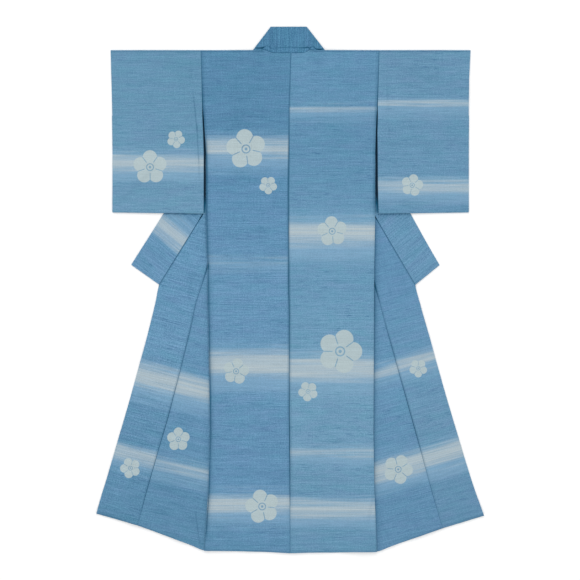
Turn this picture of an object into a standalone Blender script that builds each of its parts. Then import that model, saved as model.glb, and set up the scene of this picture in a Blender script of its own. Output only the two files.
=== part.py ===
"""A silk kimono laid flat with its back up and its fronts opened out.

The sheet of cloth that makes each half of the body runs from the back hem up over the shoulder fold.
Under the back it comes down as the front, and a long slanting fold from the neck to the foot of the
side seam turns it over, so that its lower part comes out beyond the back with its right side up.
Places on the garment are given as out, the distance from the centre-back seam, and down, the distance
from the shoulder fold.
"""

import math

import bmesh
import bpy
import numpy as np

# Cloth
CLOTH = 0.0015
SEAM_GAP = 0.0003
LAYER_GAP = 0.0004
LEVEL = CLOTH + LAYER_GAP
FOLD_RADIUS = LEVEL / 2
FOLD_REACH = (LEVEL + CLOTH) / 2
FOLD_STEPS = 4

# How a layer comes down from the layers under it
SETTLE_START = 0.018
SETTLE_RUN = 0.120

# Lengths shared by both sides
LENGTH_AT_CENTRE = 1.7745
CUFF_OPENING = 0.230
SIDE_SEAM_START = 0.380
SLEEVE_DROP_OUTSIDE = 0.5727
SLEEVE_DROP_INSIDE = 0.5772
SLANT_FOLD_INSET = 0.008
FOLD_POINT_CLEAR = 0.012
OKUMI_POINT_CLEAR = 0.030

# Neck band
NECK_RISE = 0.0835
NECK_TOP_HALF = 0.0662
NECK_BASE_HALF = 0.127
NECK_DIP = 0.0078
NECK_HOLD = 0.050
NECK_HOLD_RUN = 0.110
CREASE_HEIGHT = 0.006
CREASE_HALF = 0.003
CREASE_DEPTH = 0.0007
EDGE_DROP = 0.0008

# The collar under the shoulders, which narrows to the neck band
COLLAR_NECK_HALF = 0.123
COLLAR_NECK_SPREAD = 0.24
COLLAR_POINT_HALF = 0.010
COLLAR_POINT_STEP = (0.002, 0.001)
COLLAR_TUCK = 0.004
COLLAR_NECK_ROWS = 4

# Out and down of the corners that show, for each side
SIDES = {
    "left": {
        "sign": -1,
        "neck": 0.0904,
        "side_hem": (0.2962, 1.7660),
        "seam_hem": (0.5300, 1.6765),
        "front_hem": (0.6778, 1.6352),
        "front_bow": 0.007,
        "tip_in": (0.4565, 0.8272),
        "tip_out": (0.5550, 0.7572),
        "collar_in": (0.3008, 0.575),
        "collar_out": (0.4409, 0.575),
    },
    "right": {
        "sign": 1,
        "neck": 0.0720,
        "side_hem": (0.3105, 1.7700),
        "seam_hem": (0.5430, 1.6870),
        "front_hem": (0.6900, 1.6422),
        "front_bow": 0.0065,
        "tip_in": (0.4474, 0.8280),
        "tip_out": (0.5342, 0.7580),
        "collar_in": (0.3005, 0.578),
        "collar_out": (0.4361, 0.586),
    },
}

# Columns: down, back edge on the left, back edge on the right
BACK_EDGES = np.array([
    (0.000, 0.3085, 0.3195),
    (0.200, 0.3033, 0.3135),
    (0.280, 0.2958, 0.3081),
    (0.365, 0.2914, 0.3067),
    (0.577, 0.2912, 0.3045),
    (0.766, 0.2850, 0.3013),
    (0.950, 0.2815, 0.3003),
    (1.350, 0.2755, 0.2985),
    (1.550, 0.2812, 0.3018),
    (1.7680, 0.2962, 0.3105),
])

# Columns: down, sleeve's inner edge and cuff edge on the left, then on the right
SLEEVE_EDGES = np.array([
    (0.000, 0.3085, 0.6275, 0.3195, 0.6421),
    (0.100, 0.3059, 0.6248, 0.3165, 0.6370),
    (0.200, 0.3033, 0.6223, 0.3135, 0.6358),
    (0.300, 0.3008, 0.6206, 0.3136, 0.6352),
    (0.365, 0.2988, 0.6199, 0.3143, 0.6349),
    (0.480, 0.2990, 0.6198, 0.3150, 0.6349),
    (0.578, 0.2992, 0.6204, 0.3172, 0.6352),
])

# Columns: down, how far the centre-back seam wanders to the right
CENTRE_SEAM = np.array([
    (0.000, 0.0090),
    (0.200, 0.0030),
    (0.520, -0.0006),
    (0.860, 0.0009),
    (0.950, 0.0027),
    (1.290, 0.0026),
    (1.450, 0.0047),
    (1.7745, 0.0056),
])

# Mesh
BACK_ROWS = 22
ROW_CROWDING = 1.6
OUTER_COLUMNS = 5
INNER_COLUMNS = 7
FRONT_COLUMNS = 4
OKUMI_ROWS = 12
OKUMI_COLUMNS = 3
SLEEVE_ROWS = 12
SLEEVE_COLUMNS = 8
COLLAR_LEG_ROWS = 12
COLLAR_COLUMNS = 3
NECK_CELLS = (2, 7, 7, 2)

CLOTH_BLUE = (0.130, 0.285, 0.440)
COLLAR_BLUE = (0.085, 0.225, 0.370)


def clear_scene():
    for found in list(bpy.data.objects):
        bpy.data.objects.remove(found)


def finish_of(name, colour):
    """A matt slubbed silk."""
    material = bpy.data.materials.new(name)
    material.use_nodes = True
    shader = material.node_tree.nodes["Principled BSDF"]
    shader.inputs["Base Color"].default_value = (*colour, 1.0)
    shader.inputs["Roughness"].default_value = 0.8
    shader.inputs["Metallic"].default_value = 0.0
    material.diffuse_color = (*colour, 1.0)
    return material


def fade(distance):
    """1 up to the start of the settling cloth, 0 past its run, smooth between."""
    t = np.clip((distance - SETTLE_START) / SETTLE_RUN, 0.0, 1.0)
    return 1 - t * t * (3 - 2 * t)


def line_out(near, far, down):
    """Out of the straight line through two corners, at this distance down."""
    slope = (far[0] - near[0]) / (far[1] - near[1])
    return near[0] + slope * (down - near[1])


def fold_out(side, down):
    """The slanting fold that turns the front over."""
    foot = (side["side_hem"][0] - SLANT_FOLD_INSET, side["side_hem"][1])
    return line_out((side["neck"], 0.0), foot, down)


def okumi_seam_out(side, down):
    return line_out((side["neck"], 0.0), side["seam_hem"], down)


def collar_seam_out(side, down):
    return line_out(side["collar_in"], side["tip_in"], down)


def collar_edge_out(side, down):
    straight = line_out(side["collar_out"], side["tip_out"], down)
    return np.maximum(straight, COLLAR_NECK_HALF + COLLAR_NECK_SPREAD * down)


def back_edge_out(side, down):
    column = 1 if side["sign"] < 0 else 2
    return np.interp(down, BACK_EDGES[:, 0], BACK_EDGES[:, column])


def sleeve_edge_out(side, down, cuff):
    column = (1 if side["sign"] < 0 else 3) + (1 if cuff else 0)
    return np.interp(down, SLEEVE_EDGES[:, 0], SLEEVE_EDGES[:, column])


def centre_edge_out(side, down):
    wander = np.interp(down, CENTRE_SEAM[:, 0], CENTRE_SEAM[:, 1])
    return side["sign"] * wander + SEAM_GAP / 2


def lift_over_fronts(across, down):
    """How far the turned fronts and the collar on the surface lift what lies on them."""
    lift = np.zeros(np.broadcast(across, down).shape)
    for side in SIDES.values():
        out = side["sign"] * across
        inner = np.minimum(fold_out(side, down), collar_seam_out(side, down))
        outer = collar_edge_out(side, down)
        lift = np.maximum(lift, fade(inner - out) * fade(out - outer))
    return LEVEL * lift


def lift_over_tucks(across, down):
    """How far the unturned part of the fronts, and the neck band, lift the back over that."""
    t = np.clip((down - NECK_HOLD) / NECK_HOLD_RUN, 0.0, 1.0)
    lift = (1 - t * t * (3 - 2 * t)) * np.ones(np.broadcast(across, down).shape)
    for side in SIDES.values():
        lift = np.maximum(lift, fade(fold_out(side, down) - side["sign"] * across))
    return LEVEL * lift


def neck_seam_down(side, out):
    """The neckline, a shallow curve that ends on the shoulder fold."""
    t = np.clip(out / side["neck"], 0.0, 1.0)
    return NECK_DIP * (1 - t**3)


def place(across, down, height):
    """A point of the garment, with the middle of its outline over the origin."""
    widest = [side["sign"] * side["front_hem"][0] for side in SIDES.values()]
    middle_across = (min(widest) + max(widest)) / 2
    middle_down = (LENGTH_AT_CENTRE - NECK_RISE) / 2
    across, down, height = np.broadcast_arrays(across, down, height)
    return np.stack([across - middle_across, middle_down - down, height], axis=-1)


def wall(name, outer, inner, kept, material, looped=False, seam=None):
    """A closed wall between two grids of points, for the cells that are kept.

    looped joins the last row to the first, as in a tube. A seam shuts an edge column: its pairs are rows
    that lie over each other, and its foot is the row numbers that lead round from the last pair's first
    row to its second.
    """
    rows, columns = outer.shape[:2]
    mesh = bmesh.new()
    used = {}
    shut = set()
    if seam:
        runs = [[pair[end] for pair in seam["pairs"]] for end in (0, 1)] + [seam["foot"]]
        for run in runs:
            shut |= {min(pair) if abs(pair[0] - pair[1]) == 1 else max(pair) for pair in zip(run, run[1:])}
        inner = inner.copy()
        for row in {row for run in runs for row in run}:
            inner[row, seam["column"]] += seam["inset"]

    def vertex(layer, row, column):
        key = (layer, row % rows, column)
        if key not in used:
            grid = inner if layer else outer
            used[key] = mesh.verts.new(grid[key[1], key[2]])
        return used[key]

    def is_kept(row, column):
        if looped:
            row %= rows
        inside = 0 <= row < kept.shape[0] and 0 <= column < kept.shape[1]
        return inside and kept[row, column]

    for row, column in zip(*np.nonzero(kept)):
        corners = [(row, column), (row, column + 1), (row + 1, column + 1), (row + 1, column)]
        beyond = [(row - 1, column), (row, column + 1), (row + 1, column), (row, column - 1)]
        mesh.faces.new([vertex(0, *corner) for corner in corners])
        mesh.faces.new([vertex(1, *corner) for corner in reversed(corners)])
        for start, (near, far) in enumerate(zip(corners, corners[1:] + corners[:1])):
            in_seam = seam and row in shut and near[1] == far[1] == seam["column"]
            if not is_kept(*beyond[start]) and not in_seam:
                mesh.faces.new([vertex(0, *far), vertex(0, *near), vertex(1, *near), vertex(1, *far)])
    if seam:
        column = seam["column"]
        for near, far in zip(seam["pairs"], seam["pairs"][1:]):
            for layer in (0, 1):
                loop = [near[0], far[0], far[1], near[1]]
                mesh.faces.new([vertex(layer, row, column) for row in loop])
        ends = [seam["pairs"][0]]
        if looped:
            for layer in (0, 1):
                mesh.faces.new([vertex(layer, row, column) for row in seam["foot"]])
        else:
            ends.append(seam["pairs"][-1])
        for first, second in ends:
            loop = [(0, first), (0, second), (1, second), (1, first)]
            mesh.faces.new([vertex(layer, row, column) for layer, row in loop])
    bmesh.ops.recalc_face_normals(mesh, faces=mesh.faces)
    made = bpy.data.meshes.new(name)
    mesh.to_mesh(made)
    mesh.free()
    made.shade_smooth()
    made.set_sharp_from_angle(angle=math.radians(35))
    made.materials.append(material)
    panel = bpy.data.objects.new(name, made)
    bpy.context.scene.collection.objects.link(panel)
    return panel


def rows_down(count):
    """Shares of a panel's length, closest together near the shoulder."""
    return (np.arange(count + 1) / count) ** ROW_CROWDING


def body_panel(name, side, material):
    """Back, shoulder fold, tucked front, slanting fold and turned front, all one length of cloth.

    Each row is worked out from the side seam inwards. Past the fold's column the back goes on to the
    centre seam, and the front goes on round the slanting fold and out again to the okumi seam.
    """
    sign = side["sign"]
    shares = rows_down(BACK_ROWS)
    to_fold = np.linspace(0.0, 1.0, OUTER_COLUMNS + 1)
    bend = np.linspace(0.0, math.pi, FOLD_STEPS + 1)[1:]
    columns = OUTER_COLUMNS + 1 + max(INNER_COLUMNS, FOLD_STEPS + FRONT_COLUMNS)
    side_hem = side["side_hem"][1]
    apex = meeting_down(side["neck"], side["side_hem"][0] - SLANT_FOLD_INSET, side_hem, side)

    middles, normals, kept = [], [], []

    def add_row(points, facing, cells):
        spare = columns - len(points)
        middles.append(np.concatenate([points, np.repeat(points[-1:], spare, axis=0)]))
        normals.append(np.concatenate([facing, np.repeat(facing[-1:], spare, axis=0)]))
        kept.append([column < cells for column in range(columns - 1)])

    up = np.array([0.0, 0.0, 1.0])
    away = np.array([0.0, 1.0, 0.0])
    outward = np.array([sign, 0.0, 0.0])

    # Back, from the hem to the shoulder
    for share in shares[::-1]:
        down = FOLD_REACH + share * (side_hem - FOLD_REACH)
        edge, crease = back_edge_out(side, down), fold_out(side, down) + FOLD_REACH
        outer_part = edge + to_fold * (crease - edge)
        centre = centre_edge_out(side, down)
        inner_part = crease + np.linspace(0.0, 1.0, INNER_COLUMNS + 1)[1:] ** 0.8 * (centre - crease)
        out = np.concatenate([outer_part, inner_part])
        top = np.where(out > crease + 1e-9, FOLD_REACH, neck_seam_down(side, out) + SEAM_GAP)
        top[: OUTER_COLUMNS + 1] = FOLD_REACH
        hem = np.interp(out, [0.0, edge], [LENGTH_AT_CENTRE, side_hem])
        down = top + share * (hem - top)
        across = sign * out
        height = lift_over_fronts(across, down) + lift_over_tucks(across, down) + CLOTH / 2
        cells = OUTER_COLUMNS if share == shares[0] else OUTER_COLUMNS + INNER_COLUMNS
        add_row(place(across, down, height), np.tile(up, (len(out), 1)), cells)

    # Shoulder fold
    across = sign * outer_part
    lift = lift_over_fronts(across, FOLD_REACH)
    for angle in bend[:-1]:
        down = FOLD_REACH - FOLD_RADIUS * math.sin(angle)
        height = lift + FOLD_REACH + FOLD_RADIUS * math.cos(angle)
        facing = math.cos(angle) * up + math.sin(angle) * away
        add_row(place(across, down, height), np.tile(facing, (len(across), 1)), OUTER_COLUMNS)

    # Front, from the shoulder to the hem
    for share in shares:
        down = FOLD_REACH + share * (side_hem - FOLD_REACH)
        edge = back_edge_out(side, down)
        crease = fold_out(side, down) + FOLD_REACH
        out = edge + to_fold * (crease - edge)
        across = sign * out
        lift = lift_over_fronts(across, down)
        points = place(across, down, lift + CLOTH / 2)
        facing = np.tile(-up, (len(out), 1))
        turned = down > apex
        if turned:
            around = crease - FOLD_RADIUS * np.sin(bend)
            height = FOLD_REACH + FOLD_RADIUS * np.cos(bend)
            end_out, end_down = turned_front_end(side, crease, down)
            reach = np.linspace(0.0, 1.0, FRONT_COLUMNS + 1)[1:]
            flat_out = crease + reach * (end_out - crease)
            flat_down = down + reach * (end_down - down)
            fold_points = place(sign * around, down, height)
            flat_points = place(sign * flat_out, flat_down, CLOTH / 2)
            points = np.concatenate([points, fold_points, flat_points])
            fold_facing = np.outer(-np.cos(bend), up) + np.outer(np.sin(bend), outward)
            facing = np.concatenate([facing, fold_facing, np.tile(up, (FRONT_COLUMNS, 1))])
        cells = OUTER_COLUMNS + (FOLD_STEPS + FRONT_COLUMNS if turned else 0)
        add_row(points, facing, cells)

    middles, normals = np.array(middles), np.array(normals)
    outer, inner = middles + normals * CLOTH / 2, middles - normals * CLOTH / 2
    front_start = BACK_ROWS + FOLD_STEPS
    sewn = [step for step in range(BACK_ROWS + 1) if shares[step] * side_hem >= SIDE_SEAM_START]
    seam = {
        "column": 0,
        "pairs": [(BACK_ROWS - step, front_start + step) for step in sewn],
        "foot": [],
        "inset": -outward * CLOTH,
    }
    return wall(name, outer, inner, np.array(kept)[:-1], material, seam=seam)


def meeting_down(near_out, far_out, far_down, side):
    """Where the line from the neck to a foot crosses the collar seam, down from the shoulder."""
    slope = (far_out - near_out) / far_down
    collar_slope = (side["tip_in"][0] - side["collar_in"][0]) / (side["tip_in"][1] - side["collar_in"][1])
    collar_start = side["tip_in"][0] - collar_slope * side["tip_in"][1]
    return (near_out - collar_start) / (collar_slope - slope) + FOLD_POINT_CLEAR


def turned_front_end(side, crease, down):
    """The far end of a turned row: on the okumi seam, or above it on the collar seam."""
    end_down = down * side["seam_hem"][1] / side["side_hem"][1]
    end_out = okumi_seam_out(side, end_down) - SEAM_GAP
    over = end_out - (collar_seam_out(side, end_down) - SEAM_GAP)
    if over <= 0:
        return end_out, end_down
    start_over = crease - (collar_seam_out(side, down) - SEAM_GAP)
    share = start_over / (start_over - over)
    return crease + share * (end_out - crease), down + share * (end_down - down)


def okumi_panel(name, side, material):
    """The strip between the front and its open edge, cut to a point where the collar crosses it."""
    sign = side["sign"]
    foot_out, foot_down = side["seam_hem"]
    length = math.hypot(foot_out - side["neck"], foot_down)
    along = np.array([(foot_out - side["neck"]) / length, foot_down / length])
    outward = np.array([along[1], -along[0]])

    def along_and_off(corner):
        rel = np.array([corner[0] - side["neck"], corner[1]])
        return rel @ along, rel @ outward

    tip_along, tip_off = along_and_off(side["tip_in"])
    hem_along, hem_off = along_and_off(side["front_hem"])
    collar_along, collar_off = along_and_off(side["collar_in"])
    rise = (tip_off - collar_off) / (tip_along - collar_along)
    point_along = tip_along - tip_off / rise
    start = point_along + OKUMI_POINT_CLEAR
    above = np.linspace(start, tip_along, OKUMI_ROWS // 2 + 1)
    below = np.linspace(tip_along, hem_along, OKUMI_ROWS // 2 + 1)[1:]
    middles = []
    for reach in np.concatenate([above, below]):
        edge = np.interp(reach, [point_along, tip_along, hem_along], [0.0, tip_off, hem_off])
        past_tip = max(0.0, (reach - tip_along) / (hem_along - tip_along))
        edge -= side["front_bow"] * math.sin(math.pi * past_tip)
        clear = SEAM_GAP * (1 + 1.5 * (reach <= tip_along))
        off = SEAM_GAP + np.linspace(0.0, 1.0, OKUMI_COLUMNS + 1) * (edge - SEAM_GAP - clear)
        slip = np.interp(reach, [start, hem_along], [0.0, length - hem_along]) * (1 - off / hem_off)
        out = side["neck"] + (reach + slip) * along[0] + off * outward[0]
        down = (reach + slip) * along[1] + off * outward[1]
        middles.append(place(sign * out, down, CLOTH / 2))
    middles = np.array(middles)
    half = np.array([0.0, 0.0, CLOTH / 2])
    kept = np.ones((len(middles) - 1, OKUMI_COLUMNS), bool)
    return wall(name, middles + half, middles - half, kept, material)


def sleeve(name, side, material):
    """A flat bag: one cloth folded at the top, closed along its foot, open at the cuff and the body."""
    sign = side["sign"]
    shares = np.linspace(0.0, 1.0, SLEEVE_ROWS + 1)
    across_shares = np.linspace(0.0, 1.0, SLEEVE_COLUMNS + 1) ** 1.25
    bend = np.linspace(0.0, math.pi, FOLD_STEPS + 1)[1:-1]
    up = np.array([0.0, 0.0, 1.0])
    away = np.array([0.0, 1.0, 0.0])
    middles, normals = [], []

    def out_and_down(share):
        foot = SLEEVE_DROP_INSIDE + across_shares * (SLEEVE_DROP_OUTSIDE - SLEEVE_DROP_INSIDE)
        down = FOLD_REACH + share * (foot - 2 * FOLD_REACH)
        inner = sleeve_edge_out(side, down[0], cuff=False) + SEAM_GAP
        cuff = sleeve_edge_out(side, down[-1], cuff=True)
        return inner + across_shares * (cuff - inner), down

    def add_row(out, down, height, facing):
        middles.append(place(sign * out, down, height))
        normals.append(np.tile(facing, (len(out), 1)))

    for share in shares[::-1]:
        out, down = out_and_down(share)
        lift = lift_over_fronts(sign * out, down)
        add_row(out, down, lift + LEVEL + CLOTH / 2, up)
    for angle in bend:
        facing = math.cos(angle) * up + math.sin(angle) * away
        height = lift + FOLD_REACH + FOLD_RADIUS * math.cos(angle)
        add_row(out, down - FOLD_RADIUS * math.sin(angle), height, facing)
    for share in shares:
        out, down = out_and_down(share)
        lift = lift_over_fronts(sign * out, down)
        add_row(out, down, lift + CLOTH / 2, -up)
    for angle in bend:
        facing = -math.cos(angle) * up - math.sin(angle) * away
        height = lift + FOLD_REACH - FOLD_RADIUS * math.cos(angle)
        add_row(out, down + FOLD_RADIUS * math.sin(angle), height, facing)

    middles, normals = np.array(middles), np.array(normals)
    outer, inner = middles + normals * CLOTH / 2, middles - normals * CLOTH / 2
    kept = np.ones((len(middles), SLEEVE_COLUMNS), bool)
    under_start = SLEEVE_ROWS + FOLD_STEPS
    sewn = [step for step in range(SLEEVE_ROWS + 1) if shares[step] * SLEEVE_DROP_OUTSIDE >= CUFF_OPENING]
    under_foot = under_start + SLEEVE_ROWS
    seam = {
        "column": SLEEVE_COLUMNS,
        "pairs": [(SLEEVE_ROWS - step, under_start + step) for step in sewn],
        "foot": [0, *range(len(middles) - 1, under_foot - 1, -1)],
        "inset": np.array([-sign * CLOTH, 0.0, 0.0]),
    }
    return wall(name, outer, inner, kept, material, looped=True, seam=seam)


def collar(name, material):
    """The long collar strip, flat on the surface: up one front, round the neck and down the other."""
    def leg(side):
        """Outer and inner edge points from the tip up to the neck."""
        tip = np.array([side["tip_out"], side["tip_in"]])
        top = np.array([[float(collar_edge_out(side, 0.0)), 0.0], [COLLAR_POINT_HALF, 0.0]])
        slope_down = (COLLAR_POINT_HALF - side["tip_in"][0]) / (
            (side["tip_in"][0] - side["collar_in"][0]) / (side["tip_in"][1] - side["collar_in"][1])
        )
        top[1, 1] = side["tip_in"][1] + slope_down
        rows = []
        for share in np.linspace(0.0, 1.0, COLLAR_LEG_ROWS + 1):
            outer_down = tip[0, 1] + share * (top[0, 1] - tip[0, 1])
            inner_down = tip[1, 1] + share * (top[1, 1] - tip[1, 1])
            outer = (float(collar_edge_out(side, outer_down)), outer_down)
            inner = (float(collar_seam_out(side, inner_down)), inner_down)
            rows.append([(side["sign"] * outer[0], outer[1]), (side["sign"] * inner[0], inner[1])])
        return rows

    left, right = leg(SIDES["left"]), leg(SIDES["right"])
    top_half, rise = NECK_TOP_HALF - COLLAR_TUCK, NECK_RISE - COLLAR_TUCK
    left_point, right_point = np.array(left[-1][1]), np.array(right[-1][1])
    neck = []
    for share in np.linspace(0.0, 1.0, COLLAR_NECK_ROWS + 1):
        outer = (top_half * (2 * share - 1), -rise)
        inner = left_point + share * (right_point - left_point)
        neck.append([outer, tuple(inner)])
    inward, upward = COLLAR_POINT_STEP
    neck[0][1] = tuple(left_point + (inward, -upward))
    neck[-1][1] = tuple(right_point + (-inward, -upward))
    stations = np.array(left + neck + right[::-1])
    shares = np.linspace(0.0, 1.0, COLLAR_COLUMNS + 1)[:, None]
    points = np.array([outer + shares * (inner - outer) for outer, inner in stations])
    middles = place(points[..., 0], points[..., 1], CLOTH / 2)
    half = np.array([0.0, 0.0, CLOTH / 2])
    kept = np.ones((len(middles) - 1, COLLAR_COLUMNS), bool)
    return wall(name, middles + half, middles - half, kept, material)


def over_collar(name, material):
    """The neck band, whose folded layers are one rounded wall level with the back."""
    top = 2 * LEVEL + CLOTH
    stops = [-NECK_BASE_HALF, -SIDES["left"]["neck"], 0.0, SIDES["right"]["neck"], NECK_BASE_HALF]
    spans = [np.linspace(*ends, count + 1)[:-1] for ends, count in zip(zip(stops, stops[1:]), NECK_CELLS)]
    foot = np.append(np.concatenate(spans), NECK_BASE_HALF)
    shares = foot / NECK_BASE_HALF
    dips = [neck_seam_down(SIDES["right" if across > 0 else "left"], abs(across)) for across in foot]
    seam = np.array(dips) - SEAM_GAP
    crease = -CREASE_HEIGHT
    rows = [
        # down, height of the top
        (-NECK_RISE, top - EDGE_DROP),
        (-NECK_RISE + 0.002, top),
        (-NECK_RISE / 2, top),
        (crease - CREASE_HALF, top),
        (crease, top - CREASE_DEPTH),
        (crease + CREASE_HALF, top),
    ]
    outer, inner = [], []
    for down, height in rows:
        half = np.interp(down, [-NECK_RISE, 0.0], [NECK_TOP_HALF, NECK_BASE_HALF])
        across = shares * half
        rounded = height - EDGE_DROP * (np.abs(shares) > 0.999)
        outer.append(place(across, down, rounded))
        inner.append(place(across, down, LEVEL))
    outer.append(place(foot, seam, top))
    inner.append(place(foot, seam, LEVEL))
    outer, inner = np.array(outer), np.array(inner)
    kept = np.ones((len(outer) - 1, sum(NECK_CELLS)), bool)
    return wall(name, outer, inner, kept, material)


def main():
    clear_scene()
    blue = finish_of("slubbed_silk", CLOTH_BLUE)
    collar_blue = finish_of("collar_silk", COLLAR_BLUE)
    for name, side in SIDES.items():
        body_panel(f"body_{name}", side, blue)
        okumi_panel(f"okumi_{name}", side, blue)
        sleeve(f"sleeve_{name}", side, blue)
    collar("collar", collar_blue)
    over_collar("over_collar", collar_blue)


main()
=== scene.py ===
import math

import bmesh
import bpy
import numpy as np
from mathutils import Matrix


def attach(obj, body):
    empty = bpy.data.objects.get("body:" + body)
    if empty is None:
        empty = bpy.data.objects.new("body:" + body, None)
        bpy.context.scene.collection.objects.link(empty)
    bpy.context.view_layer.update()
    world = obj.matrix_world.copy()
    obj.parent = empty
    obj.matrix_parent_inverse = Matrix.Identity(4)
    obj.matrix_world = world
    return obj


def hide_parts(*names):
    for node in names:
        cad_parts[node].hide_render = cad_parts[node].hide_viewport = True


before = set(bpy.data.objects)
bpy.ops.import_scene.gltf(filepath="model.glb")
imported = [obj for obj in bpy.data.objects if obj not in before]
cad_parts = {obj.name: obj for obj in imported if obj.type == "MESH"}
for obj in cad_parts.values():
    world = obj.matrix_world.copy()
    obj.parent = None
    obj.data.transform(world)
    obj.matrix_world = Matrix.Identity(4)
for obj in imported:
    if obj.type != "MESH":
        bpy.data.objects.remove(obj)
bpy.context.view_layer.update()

# sizes of the garment, in metres, as the solids have them, apart from the neck seam's flatter arc
# out is the distance from the centre-back seam, down is the distance from the shoulder fold

cloth = {
    "thick": 0.0015,
    "level": 0.0019,        # from one layer to the next
    "seamGap": 0.00002,     # the solids keep 0.3 mm
    "settleStart": 0.018,   # past the edge of what it lies on, a layer starts to come down here
    "settleRun": 0.120,
    "bendReach": 0.05,      # how far off the okumi seam its bend is felt
}

garment = {
    "lengthAtCentre": 1.7745,
    "neckRise": 0.0835,
    "neckTopHalf": 0.0662,
    "neckDip": 0.0108,
    "neckHold": 0.050,      # the neck band holds the back up to here, then lets it down
    "neckHoldRun": 0.110,
    "sleeveFootOut": 0.5727,
    "sleeveFootIn": 0.5772,
    "cuffOpening": 0.230,
    "sideSeamStart": 0.380,
    "slantInset": 0.008,    # the slanting fold ends this far inside the foot of the side seam
    "collarTopOut": 0.123,  # the collar's outer edge near the shoulder
    "collarTopSlope": 0.24,
}

# a corner is (out, down); neckArc is how far out the neck seam's arc reaches, and its power
sides = {
    "left": {
        "sign": -1, "neck": 0.0904, "neckArc": (0.080, 5),
        "sideHem": (0.2962, 1.7660), "seamHem": (0.5300, 1.6765),
        "frontHem": (0.6778, 1.6352), "frontBow": 0.007, "tipIn": (0.4565, 0.8272),
        "tipOut": (0.5550, 0.7572), "collarIn": (0.3008, 0.575), "collarOut": (0.4409, 0.575),
    },
    "right": {
        "sign": 1, "neck": 0.0720, "neckArc": (0.072, 8),
        "sideHem": (0.3105, 1.7700), "seamHem": (0.5430, 1.6870),
        "frontHem": (0.6900, 1.6422), "frontBow": 0.0065, "tipIn": (0.4474, 0.8280),
        "tipOut": (0.5342, 0.7580), "collarIn": (0.3005, 0.578), "collarOut": (0.4361, 0.586),
    },
}

# columns: down, back edge left, back edge right
backEdges = np.array([
    (0.0, 0.3085, 0.3195), (0.2, 0.3033, 0.3135), (0.28, 0.2958, 0.3081), (0.365, 0.2912, 0.3059),
    (0.45, 0.2899, 0.3047), (0.577, 0.29, 0.3045), (0.766, 0.285, 0.3013), (0.95, 0.2815, 0.3003),
    (1.35, 0.2755, 0.2985), (1.55, 0.2812, 0.3018), (1.768, 0.2962, 0.3105),
])

# columns: down, sleeve inner edge and cuff left, then right
sleeveEdges = np.array([
    (0.0, 0.3085, 0.6275, 0.3195, 0.6421), (0.1, 0.3059, 0.6248, 0.3165, 0.637),
    (0.2, 0.3033, 0.6223, 0.3135, 0.6358), (0.3, 0.3008, 0.6206, 0.3136, 0.6352),
    (0.365, 0.2988, 0.6199, 0.3143, 0.6349), (0.48, 0.299, 0.6198, 0.315, 0.6349),
    (0.578, 0.2992, 0.6204, 0.3172, 0.6352),
])

# columns: down, how far the centre seam wanders to the right
centreSeam = np.array([
    (0.0, 0.009), (0.2, 0.003), (0.52, -0.0006), (0.86, 0.0009), (0.95, 0.0027), (1.29, 0.0026),
    (1.45, 0.0047), (1.7745, 0.0056),
])

# columns: down, how far out the okumi seam bends from its straight line on the left, on the right
okumiBend = np.array([
    (0.7, 0.0, 0.0), (0.745, -0.0045, 0.0), (0.79, -0.004, 0.0), (0.83, -0.001, 0.001),
    (0.89, 0.003, 0.0015), (0.98, -0.002, 0.0), (1.14, -0.0048, 0.0), (1.3, -0.0052, 0.0),
    (1.42, -0.001, 0.0), (1.56, 0.002, -0.001), (1.68, 0.002, 0.0),
])

# columns: down, how far out the open front edge bends on the left, on the right
frontBend = np.array([
    (0.83, 0.0, 0.0), (0.85, 0.0, -0.002), (0.88, -0.0022, -0.0014), (0.925, -0.0029, -0.0014),
    (1.01, -0.003, 0.0), (1.05, -0.0025, 0.0), (1.095, -0.0013, -0.0006), (1.18, -0.0003, -0.0011),
    (1.262, 0.0001, -0.0016), (1.35, 0.0013, -0.0019), (1.435, 0.0014, -0.0032), (1.52, 0.0009, -0.0039),
    (1.562, 0.002, -0.0032), (1.6, 0.0014, -0.0014), (1.65, 0.0, 0.0),
])

# the same for the collar's outer edge
collarBend = np.array([
    (0.56, -0.001, 0.0), (0.626, -0.0008, -0.0012), (0.669, -0.001, -0.0018), (0.711, 0.0, -0.002),
    (0.757, 0.0, -0.0013),
])

# columns: out from the centre seam, how far down the back's hem bends on the left, on the right
hemBend = np.array([
    (0.0, 0.0, 0.0), (0.025, -0.0006, 0.0), (0.06, -0.0016, -0.0005), (0.11, -0.0018, -0.0008),
    (0.15, -0.002, 0.0005), (0.19, -0.0015, 0.0), (0.24, -0.0011, -0.0004), (0.29, 0.0, 0.0),
])

thick, level, gap = cloth["thick"], cloth["level"], cloth["seamGap"]
foldReach, foldRadius = (level + thick) / 2, level / 2
middleAcross = (sides["right"]["frontHem"][0] - sides["left"]["frontHem"][0]) / 2
middleDown = (garment["lengthAtCentre"] - garment["neckRise"]) / 2


def smooth(t):  # 0 to 1 with flat ends
    t = np.clip(t, 0.0, 1.0)
    return t * t * (3 - 2 * t)


def gone(at, start, run):  # 1 up to the start, then down to 0 over the run
    return 1 - smooth((at - start) / run)


def fade(distance):  # how much of its lift a layer keeps past the edge of what it lies on
    return gone(distance, cloth["settleStart"], cloth["settleRun"])


def onSide(side, left, right):  # the one that belongs to this side
    return left if side["sign"] < 0 else right


def readTable(table, at, column):  # a column's value between the rows
    return np.interp(at, table[:, 0], table[:, column])


def readSide(table, side, at):  # the same, from a table with one column for each side
    return readTable(table, at, onSide(side, 1, 2))


def pairs(first, second):  # two grids as one grid of (first, second)
    return np.stack(np.broadcast_arrays(first, second), axis=-1)


def lineOut(near, far, down):  # out of the straight line through two corners
    return near[0] + (far[0] - near[0]) / (far[1] - near[1]) * (down - near[1])


def foldFoot(side):  # where the slanting fold meets the hem
    return side["sideHem"][0] - garment["slantInset"], side["sideHem"][1]


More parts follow.
